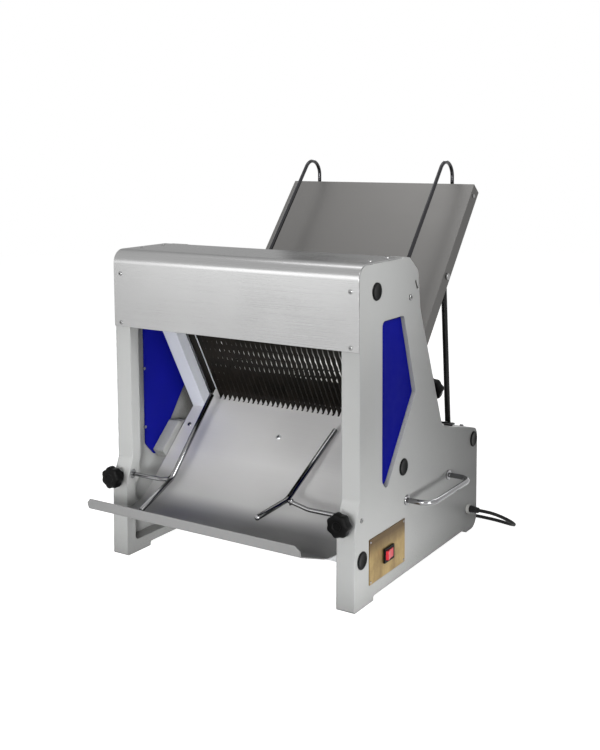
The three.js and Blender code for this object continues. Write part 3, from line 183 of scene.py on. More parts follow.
def rod_rings(points, radius):
    """Rings of (place, tangent, normal, radius) along points, whose normals don't twist."""
    tangents = []
    for i, here in enumerate(points):
        into = here - points[max(i - 1, 0)]
        out = points[min(i + 1, len(points) - 1)] - here
        tangents.append((into.normalized() + out.normalized()).normalized())
    rings = []
    normal, last = tangents[0].orthogonal().normalized(), tangents[0]
    for place, tangent in zip(points, tangents):
        normal = last.rotation_difference(tangent) @ normal
        normal = (normal - tangent * normal.dot(tangent)).normalized()
        last = tangent
        rings.append((place, tangent, normal, radius))
    return rings


def tube(name, points, radius, sides=28):
    """A round rod along points, with its ends rounded off."""
    rings = rod_rings(points, radius)
    start, start_tangent, start_normal, _ = rings[0]
    end, end_tangent, end_normal, _ = rings[-1]
    head, tail = [], []
    edge = radius * END_ROUND
    for turn in (math.radians(degrees) for degrees in (90, 60, 30, 0)):
        size = radius - edge + edge * math.cos(turn)
        back = edge * (1 - math.sin(turn))
        head.append((start + start_tangent * back, start_tangent, start_normal, size))
        tail.append((end - end_tangent * back, end_tangent, end_normal, size))
    rings = head + rings[1:-1] + tail[::-1]
    vertices = []
    for place, tangent, normal, size in rings:
        side = tangent.cross(normal)
        for turn in circle(sides):
            vertices.append(place + (normal * math.cos(turn) + side * math.sin(turn)) * size)
    faces = [tuple(reversed(range(sides)))]
    for i in range(len(rings) - 1):
        for k in range(sides):
            j = (k + 1) % sides
            faces.append((i * sides + k, i * sides + j, (i + 1) * sides + j, (i + 1) * sides + k))
    faces.append(tuple((len(rings) - 1) * sides + k for k in range(sides)))
    return mesh_object(name, vertices, faces)


def frame_of(place, axis):
    """A matrix that takes Z to an axis and the origin to a place."""
    turn = Vector((0, 0, 1)).rotation_difference(Vector(axis).normalized())
    return Matrix.Translation(place) @ turn.to_matrix().to_4x4()


def lathe(name, profile, place, axis, sides=48, radius_of=None):
    """A profile of (radius, height) pairs, which starts and ends on the axis, turned about it."""
    matrix = frame_of(place, axis)
    vertices, rows = [], []
    for radius, height in profile:
        if radius == 0:
            rows.append([len(vertices)] * sides)
            vertices.append(matrix @ Vector((0, 0, height)))
            continue
        rows.append(range(len(vertices), len(vertices) + sides))
        for turn in circle(sides):
            size = radius_of(radius, turn) if radius_of else radius
            vertices.append(matrix @ Vector((size * math.cos(turn), size * math.sin(turn), height)))
    faces = []
    for lower, upper in zip(rows, rows[1:]):
        for k in range(sides):
            j = (k + 1) % sides
            faces.append(tuple(dict.fromkeys((lower[k], lower[j], upper[j], upper[k]))))
    obj = mesh_object(name, vertices, faces)
    fix_normals(obj)
    return obj


def chamfered(name, low, high, edge, segments=3):
    """A block with rounded edges."""
    bm = bmesh.new()
    bmesh.ops.create_cube(bm, size=1)
    size = Vector(high) - Vector(low)
    for v in bm.verts:
        v.co = Vector(low) + Vector((v.co[i] + 0.5) * size[i] for i in range(3))
    bmesh.ops.bevel(bm, geom=bm.edges[:], offset=edge, segments=segments, profile=0.5, affect="EDGES")
    mesh = bpy.data.meshes.new(name)
    bm.to_mesh(mesh)
    bm.free()
    mesh.shade_smooth()
    mesh.set_sharp_from_angle(angle=SHARP_ANGLE)
    return new_object(name, mesh)


# Materials. Noise scales are waves per metre or so, and bump distances are metres.
class Paint:
    """A material built from nodes, with its grain in the object's own coordinates."""

    def __init__(self, name, color, metallic, roughness, **sockets):
        self.material = bpy.data.materials.new(name)
        self.material.use_nodes = True
        self.tree = self.material.node_tree
        self.shader = next(n for n in self.tree.nodes if n.type == "BSDF_PRINCIPLED")
        self.shader.inputs["Base Color"].default_value = (*color, 1)
        self.shader.inputs["Metallic"].default_value = metallic
        self.shader.inputs["Roughness"].default_value = roughness
        for socket, value in sockets.items():
            self.shader.inputs[socket.replace("_", " ")].default_value = value
        self.coordinates = self.tree.nodes.new("ShaderNodeTexCoord").outputs["Object"]
        self.normal = None

    def link(self, a, b):
        self.tree.links.new(a, b)

    def noise(self, scale, stretch=(1, 1, 1), detail=3, roughness=0.5, offset=0.0):
        mapping = self.tree.nodes.new("ShaderNodeMapping")
        mapping.inputs["Scale"].default_value = [scale * s for s in stretch]
        mapping.inputs["Location"].default_value = (offset, offset, offset)
        self.link(self.coordinates, mapping.inputs["Vector"])
        noise = self.tree.nodes.new("ShaderNodeTexNoise")
        noise.inputs["Scale"].default_value = 1
        noise.inputs["Detail"].default_value = detail
        noise.inputs["Roughness"].default_value = roughness
        self.link(mapping.outputs["Vector"], noise.inputs["Vector"])
        return noise.outputs["Fac"]

    def along(self, axis):
        split = self.tree.nodes.new("ShaderNodeSeparateXYZ")
        self.link(self.coordinates, split.inputs[0])
        return split.outputs[axis]

    def range(self, value, low, high, from_low=0.3, from_high=0.7):
        """A value between from_low and from_high, spread to low and high and clamped there."""
        node = self.tree.nodes.new("ShaderNodeMapRange")
        node.inputs["From Min"].default_value = from_low
        node.inputs["From Max"].default_value = from_high
        node.inputs["To Min"].default_value = low
        node.inputs["To Max"].default_value = high
        self.link(value, node.inputs["Value"])
        return node.outputs["Result"]

    def mix(self, factor, first, second):
        node = self.tree.nodes.new("ShaderNodeMix")
        node.data_type = "RGBA"
        for socket, value in ((node.inputs[6], first), (node.inputs[7], second)):
            if isinstance(value, tuple):
                socket.default_value = (*value, 1)
            else:
                self.link(value, socket)
        self.link(factor, node.inputs[0])
        return node.outputs[2]

    def vary_color(self, factor, first, second):
        self.link(self.mix(factor, first, second), self.shader.inputs["Base Color"])

    def vary_roughness(self, factor, low, high):
        self.link(self.range(factor, low, high), self.shader.inputs["Roughness"])

    def bump(self, height, strength, distance):
        node = self.tree.nodes.new("ShaderNodeBump")
        node.inputs["Strength"].default_value = strength
        node.inputs["Distance"].default_value = distance
        self.link(height, node.inputs["Height"])
        if self.normal is not None:
            self.link(self.normal, node.inputs["Normal"])
        self.normal = node.outputs["Normal"]
        self.link(self.normal, self.shader.inputs["Normal"])

    def round_edges(self, radius):
        """Rounds the edges that the light picks out."""
        node = self.tree.nodes.new("ShaderNodeBevel")
        node.samples = 6
        node.inputs["Radius"].default_value = radius
        self.normal = node.outputs["Normal"]
        self.link(self.normal, self.shader.inputs["Normal"])

    def recess_shade(self, distance):
        """1 in the open, falling to 0 in corners and pockets: the mask where shade is painted."""
        node = self.tree.nodes.new("ShaderNodeAmbientOcclusion")
        node.samples = 6
        node.inputs["Distance"].default_value = distance
        return self.range(node.outputs["AO"], 0, 1, from_low=0.2, from_high=0.62)


def scaled(color, k):
    return tuple(min(1, c * k) for c in color)


def cast_paint():
    """Silver enamel over a casting: slow waves, a fine orange peel and painted shade in the pockets."""
    color, pocket_shade = (0.40, 0.405, 0.40), (0.10, 0.097, 0.09)
    paint = Paint("silver_enamel", color, 0, 0.42, Specular_IOR_Level=0.1)
    paint.round_edges(0.0028)
    paint.bump(paint.noise(16, detail=2), 0.12, 0.0009)
    paint.bump(paint.noise(520, detail=2), 0.12, 0.0002)
    unshaded_tone = paint.mix(paint.noise(6, detail=4), scaled(color, 0.95), scaled(color, 1.04))
    # Painted shade: in corners and pockets the paint turns to a near-black tone.
    paint.vary_color(paint.recess_shade(0.12), pocket_shade, unshaded_tone)
    paint.vary_roughness(paint.noise(90, detail=4, offset=3.0), 0.28, 0.4)
    return paint.material


def brushed(name, color, roughness, stretch, grain=0.5, blotch=0.05, metallic=1, rubbed_and_painted_light=None):
    """Satin metal with streaks along the axis whose stretch is small. A zone, when given, holds an axis, the
    two places on it between which another colour takes over, and that colour, which paints shade in the
    outfeed trough and a highlight at the infeed tray's low end."""
    paint = Paint(name, color, metallic, roughness, Specular_Tint=(0.45, 0.45, 0.45, 1))
    paint.round_edges(0.0006)
    streaks = paint.noise(1, stretch, detail=4, roughness=0.65)
    cloud = paint.noise(7, detail=3, offset=5.0)
    paint.bump(streaks, grain, 0.00004)
    paint.bump(paint.noise(9, detail=1, offset=2.0), 0.12, 0.0005)
    streaked = paint.mix(paint.range(streaks, 0, 1), scaled(color, 0.96), scaled(color, 1.03))
    tone = paint.mix(paint.range(cloud, 0, 0.5), streaked, scaled(color, 1 + blotch))
    # Painted light: past the zone's second place its colour takes over, as painted shade in the outfeed
    # trough and a painted highlight at the infeed tray's low end.
    if rubbed_and_painted_light:
        axis, start, end, other = rubbed_and_painted_light
        paint.vary_color(paint.range(paint.along(axis), 0, 1, start, end), tone, other)
    else:
        paint.link(tone, paint.shader.inputs["Base Color"])
    total = paint.tree.nodes.new("ShaderNodeMath")
    total.operation = "ADD"
    total.use_clamp = True
    paint.link(paint.range(streaks, roughness - 0.05, roughness + 0.06), total.inputs[0])
    paint.link(paint.range(cloud, -0.03, 0.03), total.inputs[1])
    paint.link(total.outputs[0], paint.shader.inputs["Roughness"])
    return paint.material


def blade_steel():
    """Dark spring steel, made near black as painted shade among the blades, with patches of dried oil and
    light scuffs along the blades.
    """
    # Painted shade: the near-black base colour stands partly for the shade among the blades.
    color, dried_oil, scuff = (0.012, 0.011, 0.010), (0.022, 0.017, 0.013), (0.04, 0.036, 0.032)
    paint = Paint("oiled_blade_steel_and_painted_shade", color, 0.4, 0.5, Specular_IOR_Level=0.2)
    streaks = paint.noise(1, (900, 900, 30), detail=3)
    patches = paint.noise(38, detail=4, offset=1.0)
    oil = paint.mix(paint.range(patches, 0, 1), scaled(color, 0.6), dried_oil)
    paint.vary_color(paint.range(streaks, 0, 0.5), oil, scuff)
    paint.vary_roughness(patches, 0.3, 0.55)
    paint.bump(streaks, 0.4, 0.00004)
    return paint.material


def plain_paint(name, color, roughness, coat=0.3, grain=600, depth=0.0001, edge=0.0008, wave=0.0004,
                gloss=0.4):
    """Enamel on sheet metal: a slow wave of the sheet under a fine grain."""
    paint = Paint(name, color, 0, roughness, Coat_Weight=coat, Coat_Roughness=0.15, Specular_IOR_Level=gloss)
    paint.round_edges(edge)
    paint.bump(paint.noise(14, detail=2), 0.2, wave)
    paint.bump(paint.noise(grain, detail=2), 0.2, depth)
    paint.vary_color(paint.noise(9, detail=4), scaled(color, 0.9), scaled(color, 1.08))
    paint.vary_roughness(paint.noise(60, detail=4, offset=2.0), roughness - 0.05, roughness + 0.07)
    return paint.material


def polished(name, color, roughness):
    """Bright metal with hairline scratches and duller patches."""
    paint = Paint(name, color, 1, roughness)
    paint.round_edges(0.0004)
    paint.bump(paint.noise(260, detail=2), 0.05, 0.00006)
    paint.vary_roughness(paint.noise(45, detail=4), max(0.03, roughness - 0.04), roughness + 0.08)
    paint.vary_color(paint.noise(25, detail=3, offset=4.0), scaled(color, 0.92), scaled(color, 1.05))
    return paint.material


def plastic(name, color, roughness, grain=700, depth=0.00015, gloss=0.18):
    """A moulding with a fine texture."""
    paint = Paint(name, color, 0, roughness, Specular_IOR_Level=gloss)
    paint.round_edges(0.0006)
    paint.bump(paint.noise(grain, detail=3), 0.35, depth)
    paint.vary_color(paint.noise(30, detail=4), scaled(color, 0.8), scaled(color, 1.25))
    paint.vary_roughness(paint.noise(80, detail=3, offset=1.0), roughness - 0.06, roughness + 0.08)
    return paint.material


def zinc():
    """Zinc plate with its spangle."""
    color = (0.5, 0.51, 0.52)
    paint = Paint("zinc_plate", color, 0.9, 0.42)
    paint.round_edges(0.0006)
    cells = paint.tree.nodes.new("ShaderNodeTexVoronoi")
    cells.inputs["Scale"].default_value = 140
    paint.link(paint.coordinates, cells.inputs["Vector"])
    spangle = paint.range(cells.outputs["Distance"], 0, 1, from_low=0.0, from_high=0.8)
    paint.vary_color(spangle, scaled(color, 0.85), scaled(color, 1.15))
    paint.vary_roughness(paint.noise(60, detail=3), 0.34, 0.5)
    paint.bump(paint.noise(400, detail=3), 0.2, 0.00008)
    return paint.material


def brass():
    """A brushed brass plate with cloudy tarnish, darker towards its top."""
    color, tarnish, clear, streak, top = ((0.36, 0.26, 0.115), (0.15, 0.09, 0.028), (0.40, 0.29, 0.115),
                                          (0.37, 0.27, 0.12), (0.075, 0.042, 0.014))
    paint = Paint("satin_brass", color, 1, 0.42)
    paint.round_edges(0.0004)
    streaks = paint.noise(1, (900, 14, 900), detail=4)
    cloud = paint.noise(34, (1, 1, 0.6), detail=5, roughness=0.65, offset=2.0)
    cloudy = paint.mix(paint.range(cloud, 0, 1), tarnish, clear)
    rubbed_and_painted_light = paint.mix(paint.range(streaks, 0, 0.35), cloudy, streak)
    paint.vary_color(paint.range(paint.along("Z"), 0, 0.9, from_low=0.080, from_high=0.106), rubbed_and_painted_light, top)
    paint.vary_roughness(streaks, 0.3, 0.44)
    paint.bump(streaks, 0.3, 0.00003)
    return paint.material


def red_plastic():
    """The rocker's glossy lens."""
    color, lit = (0.46, 0.010, 0.020), (0.62, 0.03, 0.045)
    paint = Paint("red_lens", color, 0, 0.3, Coat_Weight=0.1, Coat_Roughness=0.08, Specular_IOR_Level=0.25)
    paint.round_edges(0.0006)
    paint.bump(paint.noise(500, detail=2), 0.1, 0.0001)
    paint.vary_color(paint.noise(60, detail=3), scaled(color, 0.8), lit)
    return paint.material


# Zones of the trays painted in another tone: painted shade in the trough, and a painted highlight on the low
# end of the infeed tray.
TROUGH_SHADE = ("Y", -0.120, -0.215, (0.25, 0.25, 0.25))
PAINTED_HIGHLIGHT_END = ("Z", 0.376, 0.364, (0.92, 0.91, 0.89))

materials = {
    "cast_paint": cast_paint(),
    "stainless_cover": brushed("satin_stainless_cover", (0.36, 0.36, 0.36), 0.28, (4, 1400, 1400)),
    "stainless_outfeed": brushed("satin_stainless_outfeed", (0.62, 0.615, 0.61), 0.40, (5, 1100, 1100),
                                 blotch=0.12, metallic=0.45, rubbed_and_painted_light=TROUGH_SHADE),
    # Painted shade: the infeed tray's stainless is made dark to stand for the shade on it; its low end gets
    # a painted highlight.
    "stainless_infeed_painted_shade": brushed("satin_stainless_infeed_painted_shade", (0.16, 0.157, 0.153), 0.42, (5, 1100, 1100),
                                grain=0.4, blotch=0.08, rubbed_and_painted_light=PAINTED_HIGHLIGHT_END),
    "blade_steel": blade_steel(),
    "machined_steel": brushed("machined_steel", (0.42, 0.425, 0.43), 0.34, (900, 60, 60)),
    "galvanised": zinc(),
    "blue_paint": plain_paint("blue_enamel", (0.006, 0.008, 0.23), 0.5, coat=0, gloss=0.02),
    "white_paint": plain_paint("white_enamel", (0.52, 0.535, 0.58), 0.45, coat=0, edge=0.001, gloss=0.2),
    "black_paint": plain_paint("black_enamel", (0.010, 0.010, 0.010), 0.4, coat=0.05, wave=0.0002,
                               gloss=0.2),
    "sheet_paint": plain_paint("silver_sheet_enamel", (0.50, 0.505, 0.50), 0.36, coat=0.35),
    "motor_paint": plain_paint("motor_enamel", (0.045, 0.055, 0.065), 0.5, coat=0.1, grain=300,
                               depth=0.0003),
    "chrome": polished("bright_chrome", (0.24, 0.24, 0.245), 0.08),
    "dark_chrome": polished("dark_rod", (0.045, 0.045, 0.048), 0.14),
    "bolt_steel": polished("bolt_steel", (0.26, 0.26, 0.26), 0.26),
    "brass": brass(),
    "black_plastic": plastic("black_moulding", (0.004, 0.004, 0.004), 0.4, gloss=0.06),
    "red_plastic": red_plastic(),
    "grey_plastic": plastic("grey_moulding", (0.52, 0.52, 0.50), 0.45),
    "rubber": plastic("black_rubber", (0.014, 0.014, 0.014), 0.6, grain=900, depth=0.0001),
    # Painted shade: matte black for the shade in the screws' crosses.
    "recess_shade": plastic("painted_recess_shade", (0.01, 0.01, 0.01), 0.8),
}

# The imported solids keep their meshes and get their materials, with smooth round faces.
# The record's one stainless slot gets a copy per tray; the infeed tray's dark copy is painted shade.
STAINLESS = {"infeed_tray": "stainless_infeed_painted_shade", "outfeed_tray": "stainless_outfeed"}
WELD_WITHIN = 0.000005
FACET_ANGLE = math.radians(34)


def dress_solid(obj, material):
    obj.data.materials.clear()
    obj.data.materials.append(material)
    for polygon in obj.data.polygons:
        polygon.material_index = 0
    custom = obj.data.attributes.get("custom_normal")
    if custom:
        obj.data.attributes.remove(custom)
    obj.data.shade_smooth()
    weld = obj.modifiers.new("weld", "WELD")
    weld.merge_threshold = WELD_WITHIN
    split = obj.modifiers.new("split", "EDGE_SPLIT")
    split.split_angle = FACET_ANGLE
    split.use_edge_sharp = False
    weighted = obj.modifiers.new("weighted", "WEIGHTED_NORMAL")
    weighted.weight = 90


for row in frame["record"]["subparts"]:
    slot = row["material_slot"]
    if slot == "stainless":
        slot = STAINLESS.get(row["node"], "stainless_cover")
    dress_solid(nodes[row["node"]], materials[slot])


def finish_piece(obj, body, slot, material=None, replaced=()):
    """A piece of this file rides on a body, takes the material of a record's slot or the one given, and
    hides the solids that it stands in for.
    """
    obj.data.materials.clear()
    obj.data.materials.append(materials[material or slot])
    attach(obj, body)
    if replaced:
        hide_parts(*replaced)
    return obj


def turned(name, profile, place, axis, sides, slot="machined_steel", material=None, body="machine",
           replaced=()):
    """A lathed piece, finished."""
    return finish_piece(lathe(name, profile, place, axis, sides), body, slot, material, replaced)


# The mains cord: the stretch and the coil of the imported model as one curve, with its plug and gland.
CORD_RADIUS = 0.0035
CORD_PATH = 0.0001 + CORD_RADIUS  # height of its centreline over the floor
COIL = (-0.040, 0.590)  # X and Y of its centre
COIL_RADIUS, COIL_PITCH, COIL_TURNS, COIL_STEPS = 0.035, 0.0075, 6.5, 32
COIL_OUTER = COIL_RADIUS + COIL_PITCH * COIL_TURNS / 4
CORD_END = 0.007  # straight stretch before the coil and before the plug
PLUG_RUN = 0.046  # from the coil's centre to the plug
CORD_TIP = 0.0002  # how far the cord goes on past that run, short of the plug by a hair
PLUG_Y, PLUG_Z = COIL[1] + COIL_OUTER, 0.0171
GLAND = (0.4525, 0.05)
CORD_ROUTE = (
    (301.3, 452.5, 50), (308.3, 452.5, 50), (324, 453.2, 49.4), (341, 457, 45.5), (354, 466, 38),
    (361, 480, 28.5), (361, 496, 19), (354, 512, 11), (341, 525.5, 6), (323, 534.5, 3.9),
    (302, 539.5, 3.6), (270, 542.2, 3.6), (215, 542.8, 3.6), (150, 542.81, 3.6),
    (85, 542.81, 3.6), (20, 542.81, 3.6), (-25.7, 542.81, 3.6), (-32.7, 542.81, 3.6),
)  # millimetres, as in the part's source


def catmull(points, spacing, steps=16):
    """Evenly spaced points on a centripetal spline through the given ones."""
    padded = [points[0] * 2 - points[1], *points, points[-1] * 2 - points[-2]]
    dense = []
    for a, b, c, d in zip(padded, padded[1:], padded[2:], padded[3:]):
        t0, t1 = 0.0, (b - a).length ** 0.5
        t2 = t1 + (c - b).length ** 0.5
        t3 = t2 + (d - c).length ** 0.5
        for k in range(steps):
            t = t1 + (t2 - t1) * k / steps
            a1 = a * ((t1 - t) / (t1 - t0)) + b * ((t - t0) / (t1 - t0))
            a2 = b * ((t2 - t) / (t2 - t1)) + c * ((t - t1) / (t2 - t1))
            a3 = c * ((t3 - t) / (t3 - t2)) + d * ((t - t2) / (t3 - t2))
            b1 = a1 * ((t2 - t) / (t2 - t0)) + a2 * ((t - t0) / (t2 - t0))
            b2 = a2 * ((t3 - t) / (t3 - t1)) + a3 * ((t - t1) / (t3 - t1))
            dense.append(b1 * ((t2 - t) / (t2 - t1)) + b2 * ((t - t1) / (t2 - t1)))
    dense.append(points[-1])
    even, run = [dense[0]], 0.0
    for p, q in zip(dense, dense[1:]):
        run += (q - p).length
        if run >= spacing:
            even.append(q)
            run = 0.0
    if (even[-1] - dense[-1]).length > spacing / 3:
        even.append(dense[-1])
    else:
        even[-1] = dense[-1]
    return even


def coil_points():
    """Turns that wind in to the middle one, climb by a cord's pitch there, and wind out on top."""
    middle = COIL_TURNS / 2
    points = []
    for k in range(int(COIL_TURNS * COIL_STEPS) + 1):
        t = k / COIL_STEPS
        radius = COIL_OUTER - COIL_PITCH * (middle - abs(t - middle))
        turn = -math.pi / 2 - 2 * math.pi * t
        climb = min(1, max(0, 2 * (t - middle) + 0.5))
        z = CORD_PATH + COIL_PITCH * climb * climb * (3 - 2 * climb)
        points.append(at(COIL[0] + radius * math.cos(turn), COIL[1] + radius * math.sin(turn), z))
    return points


route = [at(*(v / 1000 for v in place)) for place in CORD_ROUTE]
line = [
    *catmull(route, 0.012),
    at(COIL[0] + CORD_END, COIL[1] - COIL_OUTER, CORD_PATH),
    *coil_points(),
    at(COIL[0] + PLUG_RUN / 2, PLUG_Y, (CORD_PATH + COIL_PITCH + PLUG_Z) / 2),
    at(COIL[0] + PLUG_RUN - CORD_END, PLUG_Y, PLUG_Z),
    at(COIL[0] + PLUG_RUN + CORD_TIP, PLUG_Y, PLUG_Z),
]

curve = bpy.data.curves.new("mains_cord", "CURVE")
curve.dimensions = "3D"
curve.bevel_depth = CORD_RADIUS
curve.bevel_resolution = 5
curve.use_fill_caps = True
spline = curve.splines.new("POLY")
spline.points.add(len(line) - 1)
for point, place in zip(spline.points, line):
    point.co = (*place, 1)
cord = new_object("mains_cord", curve)
finish_piece(cord, "machine", "rubber", replaced=["cord_stretch", "cord_coil"])

# The plug: a ribbed sleeve, a body with a grip groove and two pins.
PLUG_RIBS, RIB_PITCH = 6, 0.004
PLUG_SLEEVE, PLUG_BODY = 0.024, 0.042
PLUG_START = COIL[0] + PLUG_RUN + SEAT
PIN_Y = 0.0095
plug_profile = [(0, 0)]
for k in range(PLUG_RIBS):
    a = k * RIB_PITCH
    plug_profile += [(0.0044, a), (0.005, a + 0.0006), (0.005, a + 0.0026), (0.0044, a + 0.0032)]
plug_profile += [(0.0065, 0.0245), (0.0085, 0.0255), (0.0125, 0.0285), (0.0158, 0.0325), (0.017, 0.037),
                 (0.017, 0.044), (0.0163, 0.0445), (0.0163, 0.047), (0.017, 0.0475), (0.017, 0.0642),
                 (0.0162, 0.0658), (0.014, 0.066), (0.0135, 0.0652), (0, 0.0652)]
pin_profile = [(0, 0), (0.0024, 0), (0.0024, 0.0172), (0.0018, 0.0186), (0.0008, 0.019), (0, 0.019)]
plug = turned("plug_body", plug_profile, at(PLUG_START, PLUG_Y, PLUG_Z), (1, 0, 0), 48, "black_plastic",
              replaced=["cord_plug"])
for i, y in enumerate((-PIN_Y, PIN_Y)):
    place = at(PLUG_START + PLUG_SLEEVE + PLUG_BODY, PLUG_Y + y, PLUG_Z)
    pin = turned(f"plug_pin_{i}", pin_profile, place, (1, 0, 0), 20, "chrome")
    pin.parent = plug
    pin.matrix_parent_inverse = plug.matrix_world.inverted()

# The gland: a ring screwed into the casting and a ribbed rubber sleeve that tapers round the cord.
SLEEVE_RIBS, SLEEVE_START, SLEEVE_PITCH = 5, 0.0068, 0.0038
SLEEVE_RADIUS, SLEEVE_TAPER = 0.0074, 0.00036  # the taper is per rib
ring_profile = [(0, -0.0138), (0.007, -0.0138), (0.007, 0), (0.0098, 0), (0.01, 0.0004),
                (0.01, 0.0045), (0.0094, 0.0058), (0.0078, 0.006), (0, 0.006)]
sleeve_profile = [(0, 0.0062), (0.0072, 0.0062)]
for k in range(SLEEVE_RIBS):
    a, r = SLEEVE_START + SLEEVE_PITCH * k, SLEEVE_RADIUS - SLEEVE_TAPER * k
    sleeve_profile += [(r - 0.0008, a), (r, a + 0.0006), (r - 0.0001, a + 0.0024), (r - 0.0009, a + 0.003)]
sleeve_profile += [(0.0050, 0.0260), (0.0037, 0.0260), (0.0037, 0.024), (0, 0.024)]
turned("cord_gland_ring", ring_profile, at(HALF_WIDTH, *GLAND), (1, 0, 0), 36, "grey_plastic",
       replaced=["cord_gland"])
turned("cord_relief", sleeve_profile, at(HALF_WIDTH, *GLAND), (1, 0, 0), 36, "grey_plastic", "rubber")

# Guide rods for the loaf, with their arms.
INFEED_ROD_X, INFEED_ROD = 0.170, 0.004
INFEED_BENDS = [0.013, 0.013, 0.032]
INFEED_LOW_END = (0.508, 0.055)  # down the tray and off it
INFEED_HOOK = (0.590, 0.716)
OUTFEED_ROD_X, OUTFEED_ROD, ARM_ROD = 0.131, 0.005, 0.004
OUTFEED_TILT = {"right": math.radians(28), "left": math.radians(47)}
RAIL_UPPER, RAIL_LOWER = 0.188, 0.096
RAIL_BEND, RAIL_KINK = 0.040, math.radians(155)
RAIL_RISE = 0.016  # of the rail over its arm
ARM_RUN, ARM_BEND, ARM_LAP = 0.039, 0.030, 0.0025
WELD_OUT, WELD_BELOW = 0.006, 0.0045  # from the rail's middle
WELD_AXIS = (0.93, -0.36)  # X and Z on the right side
WELD_PROFILE = [(0, 0), (0.0066, 0), (0.0062, 0.0016), (0.0046, 0.003), (0, 0.003)]


def infeed_guide(side, sign):
    """A rod along the infeed tray with a hook at its top, on an arm from the casting."""
    x = sign * INFEED_ROD_X
    hook = at(x, *INFEED_HOOK)
    low = on_chute(x, *INFEED_LOW_END)
    top = low + CHUTE_UP * ((hook.y - low.y) / CHUTE_UP.y)
    corners = [at(sign * ARM_END, *INFEED_ARM), at(x, *INFEED_ARM), low, top, hook]
    rod = tube(f"infeed_rod_{side}", bent(corners, INFEED_BENDS), INFEED_ROD)
    finish_piece(rod, f"infeed_arm_{side}", "dark_chrome", replaced=[f"infeed_guide_{side}"])


def outfeed_guide(side, sign):
    """A kinked rod over the outfeed tray, welded to an arm that turns in the casting."""
    body = f"outfeed_arm_{side}"
    turn = Matrix.Rotation(OUTFEED_TILT[side], 4, "X")
    pivot = at(0, *OUTFEED_ARM)
    x = sign * OUTFEED_ROD_X
    lower = RAIL_LOWER * Vector((0, math.cos(RAIL_KINK), math.sin(RAIL_KINK)))
    middle = Vector((x, 0, RAIL_RISE))
    rail = [middle + Vector((0, RAIL_UPPER, 0)), middle, middle + lower]
    arm = [Vector((sign * ARM_END, 0, 0)), Vector((x + sign * ARM_RUN, 0, 0)),
           middle - Vector((0, 0, ARM_LAP))]
    rail_points = [turn @ p + pivot for p in bent(rail, [RAIL_BEND])]
    arm_points = [turn @ p + pivot for p in bent(arm, [ARM_BEND])]
    finish_piece(tube(f"outfeed_rod_{side}", rail_points, OUTFEED_ROD), body, "chrome",
                 replaced=[f"outfeed_guide_{side}"])
    finish_piece(tube(f"outfeed_arm_rod_{side}", arm_points, ARM_ROD), body, "chrome")
    place = turn @ Vector((x + sign * WELD_OUT, 0, RAIL_RISE - WELD_BELOW)) + pivot
    axis = turn.to_3x3() @ Vector((sign * WELD_AXIS[0], 0, WELD_AXIS[1]))
    turned(f"outfeed_weld_{side}", WELD_PROFILE, place, axis, 24, "chrome", body=body)


for side, sign in SIDES:
    infeed_guide(side, sign)
    outfeed_guide(side, sign)

# Star knobs with their screws, which bear on the slanted rear edge and the front edge of the castings.
KNOB_X = HALF_WIDTH - CASTING_DEPTH / 2
KNOB_GAP, KNOB_NECK, KNOB_SIDES = 0.0015, 0.0125, 112
STAR_POINTS, STAR_RADIUS, STAR_HUB, STAR_DEPTH = 7, 0.022, 0.008, 0.0026
REAR_EDGE_OUT = Vector((0, NAPE[1] - BOX_FRONT[1], BOX_FRONT[0] - NAPE[0])).normalized()
REAR_EDGE = (at(0, *BOX_FRONT) - at(0, *INFEED_ARM)).dot(REAR_EDGE_OUT)  # from the arm's axis
FRONT_EDGE = OUTFEED_ARM[0] - TOE_FACE
INFEED_STEM, OUTFEED_STEM = 0.0043, 0.0081  # from the arm's axis to the screw's tip


def star_radius(radius, turn):
    """Hollows between the star's points, deeper towards its rim."""
    share = max(0, (radius - STAR_HUB) / (STAR_RADIUS - STAR_HUB))
    return radius - STAR_DEPTH * share * (1 - math.cos(STAR_POINTS * turn)) / 2


def star_knob(name, side, place, axis, face, stem):
    base = face + KNOB_GAP
    star = base + KNOB_NECK
    profile = [(0, stem), (0.004, stem), (0.004, base), (0.0094, base), (0.01, base + 0.0006),
               (0.01, star - 0.001), (0.0125, star), (0.0195, star + 0.0002), (0.0213, star + 0.0012),
               (STAR_RADIUS, star + 0.0032), (STAR_RADIUS, star + 0.0128), (0.0214, star + 0.0152),
               (0.0198, star + 0.0168), (0.0172, star + 0.0176), (0.0125, star + 0.0180),
               (0.0085, star + 0.0178), (0.0078, star + 0.0172), (0.0074, star + 0.0166), (0, star + 0.0164)]
    knob = lathe(f"{name}_star_{side}", profile, place, axis, KNOB_SIDES, star_radius)
    finish_piece(knob, f"{name}_star_{side}", "black_plastic", replaced=[f"{name}_knob_{side}"])


for side, sign in SIDES:
    star_knob("infeed", side, at(sign * KNOB_X, *INFEED_ARM), REAR_EDGE_OUT, REAR_EDGE, INFEED_STEM)
    star_knob("outfeed", side, at(sign * KNOB_X, *OUTFEED_ARM), (0, -1, 0), FRONT_EDGE, OUTFEED_STEM)

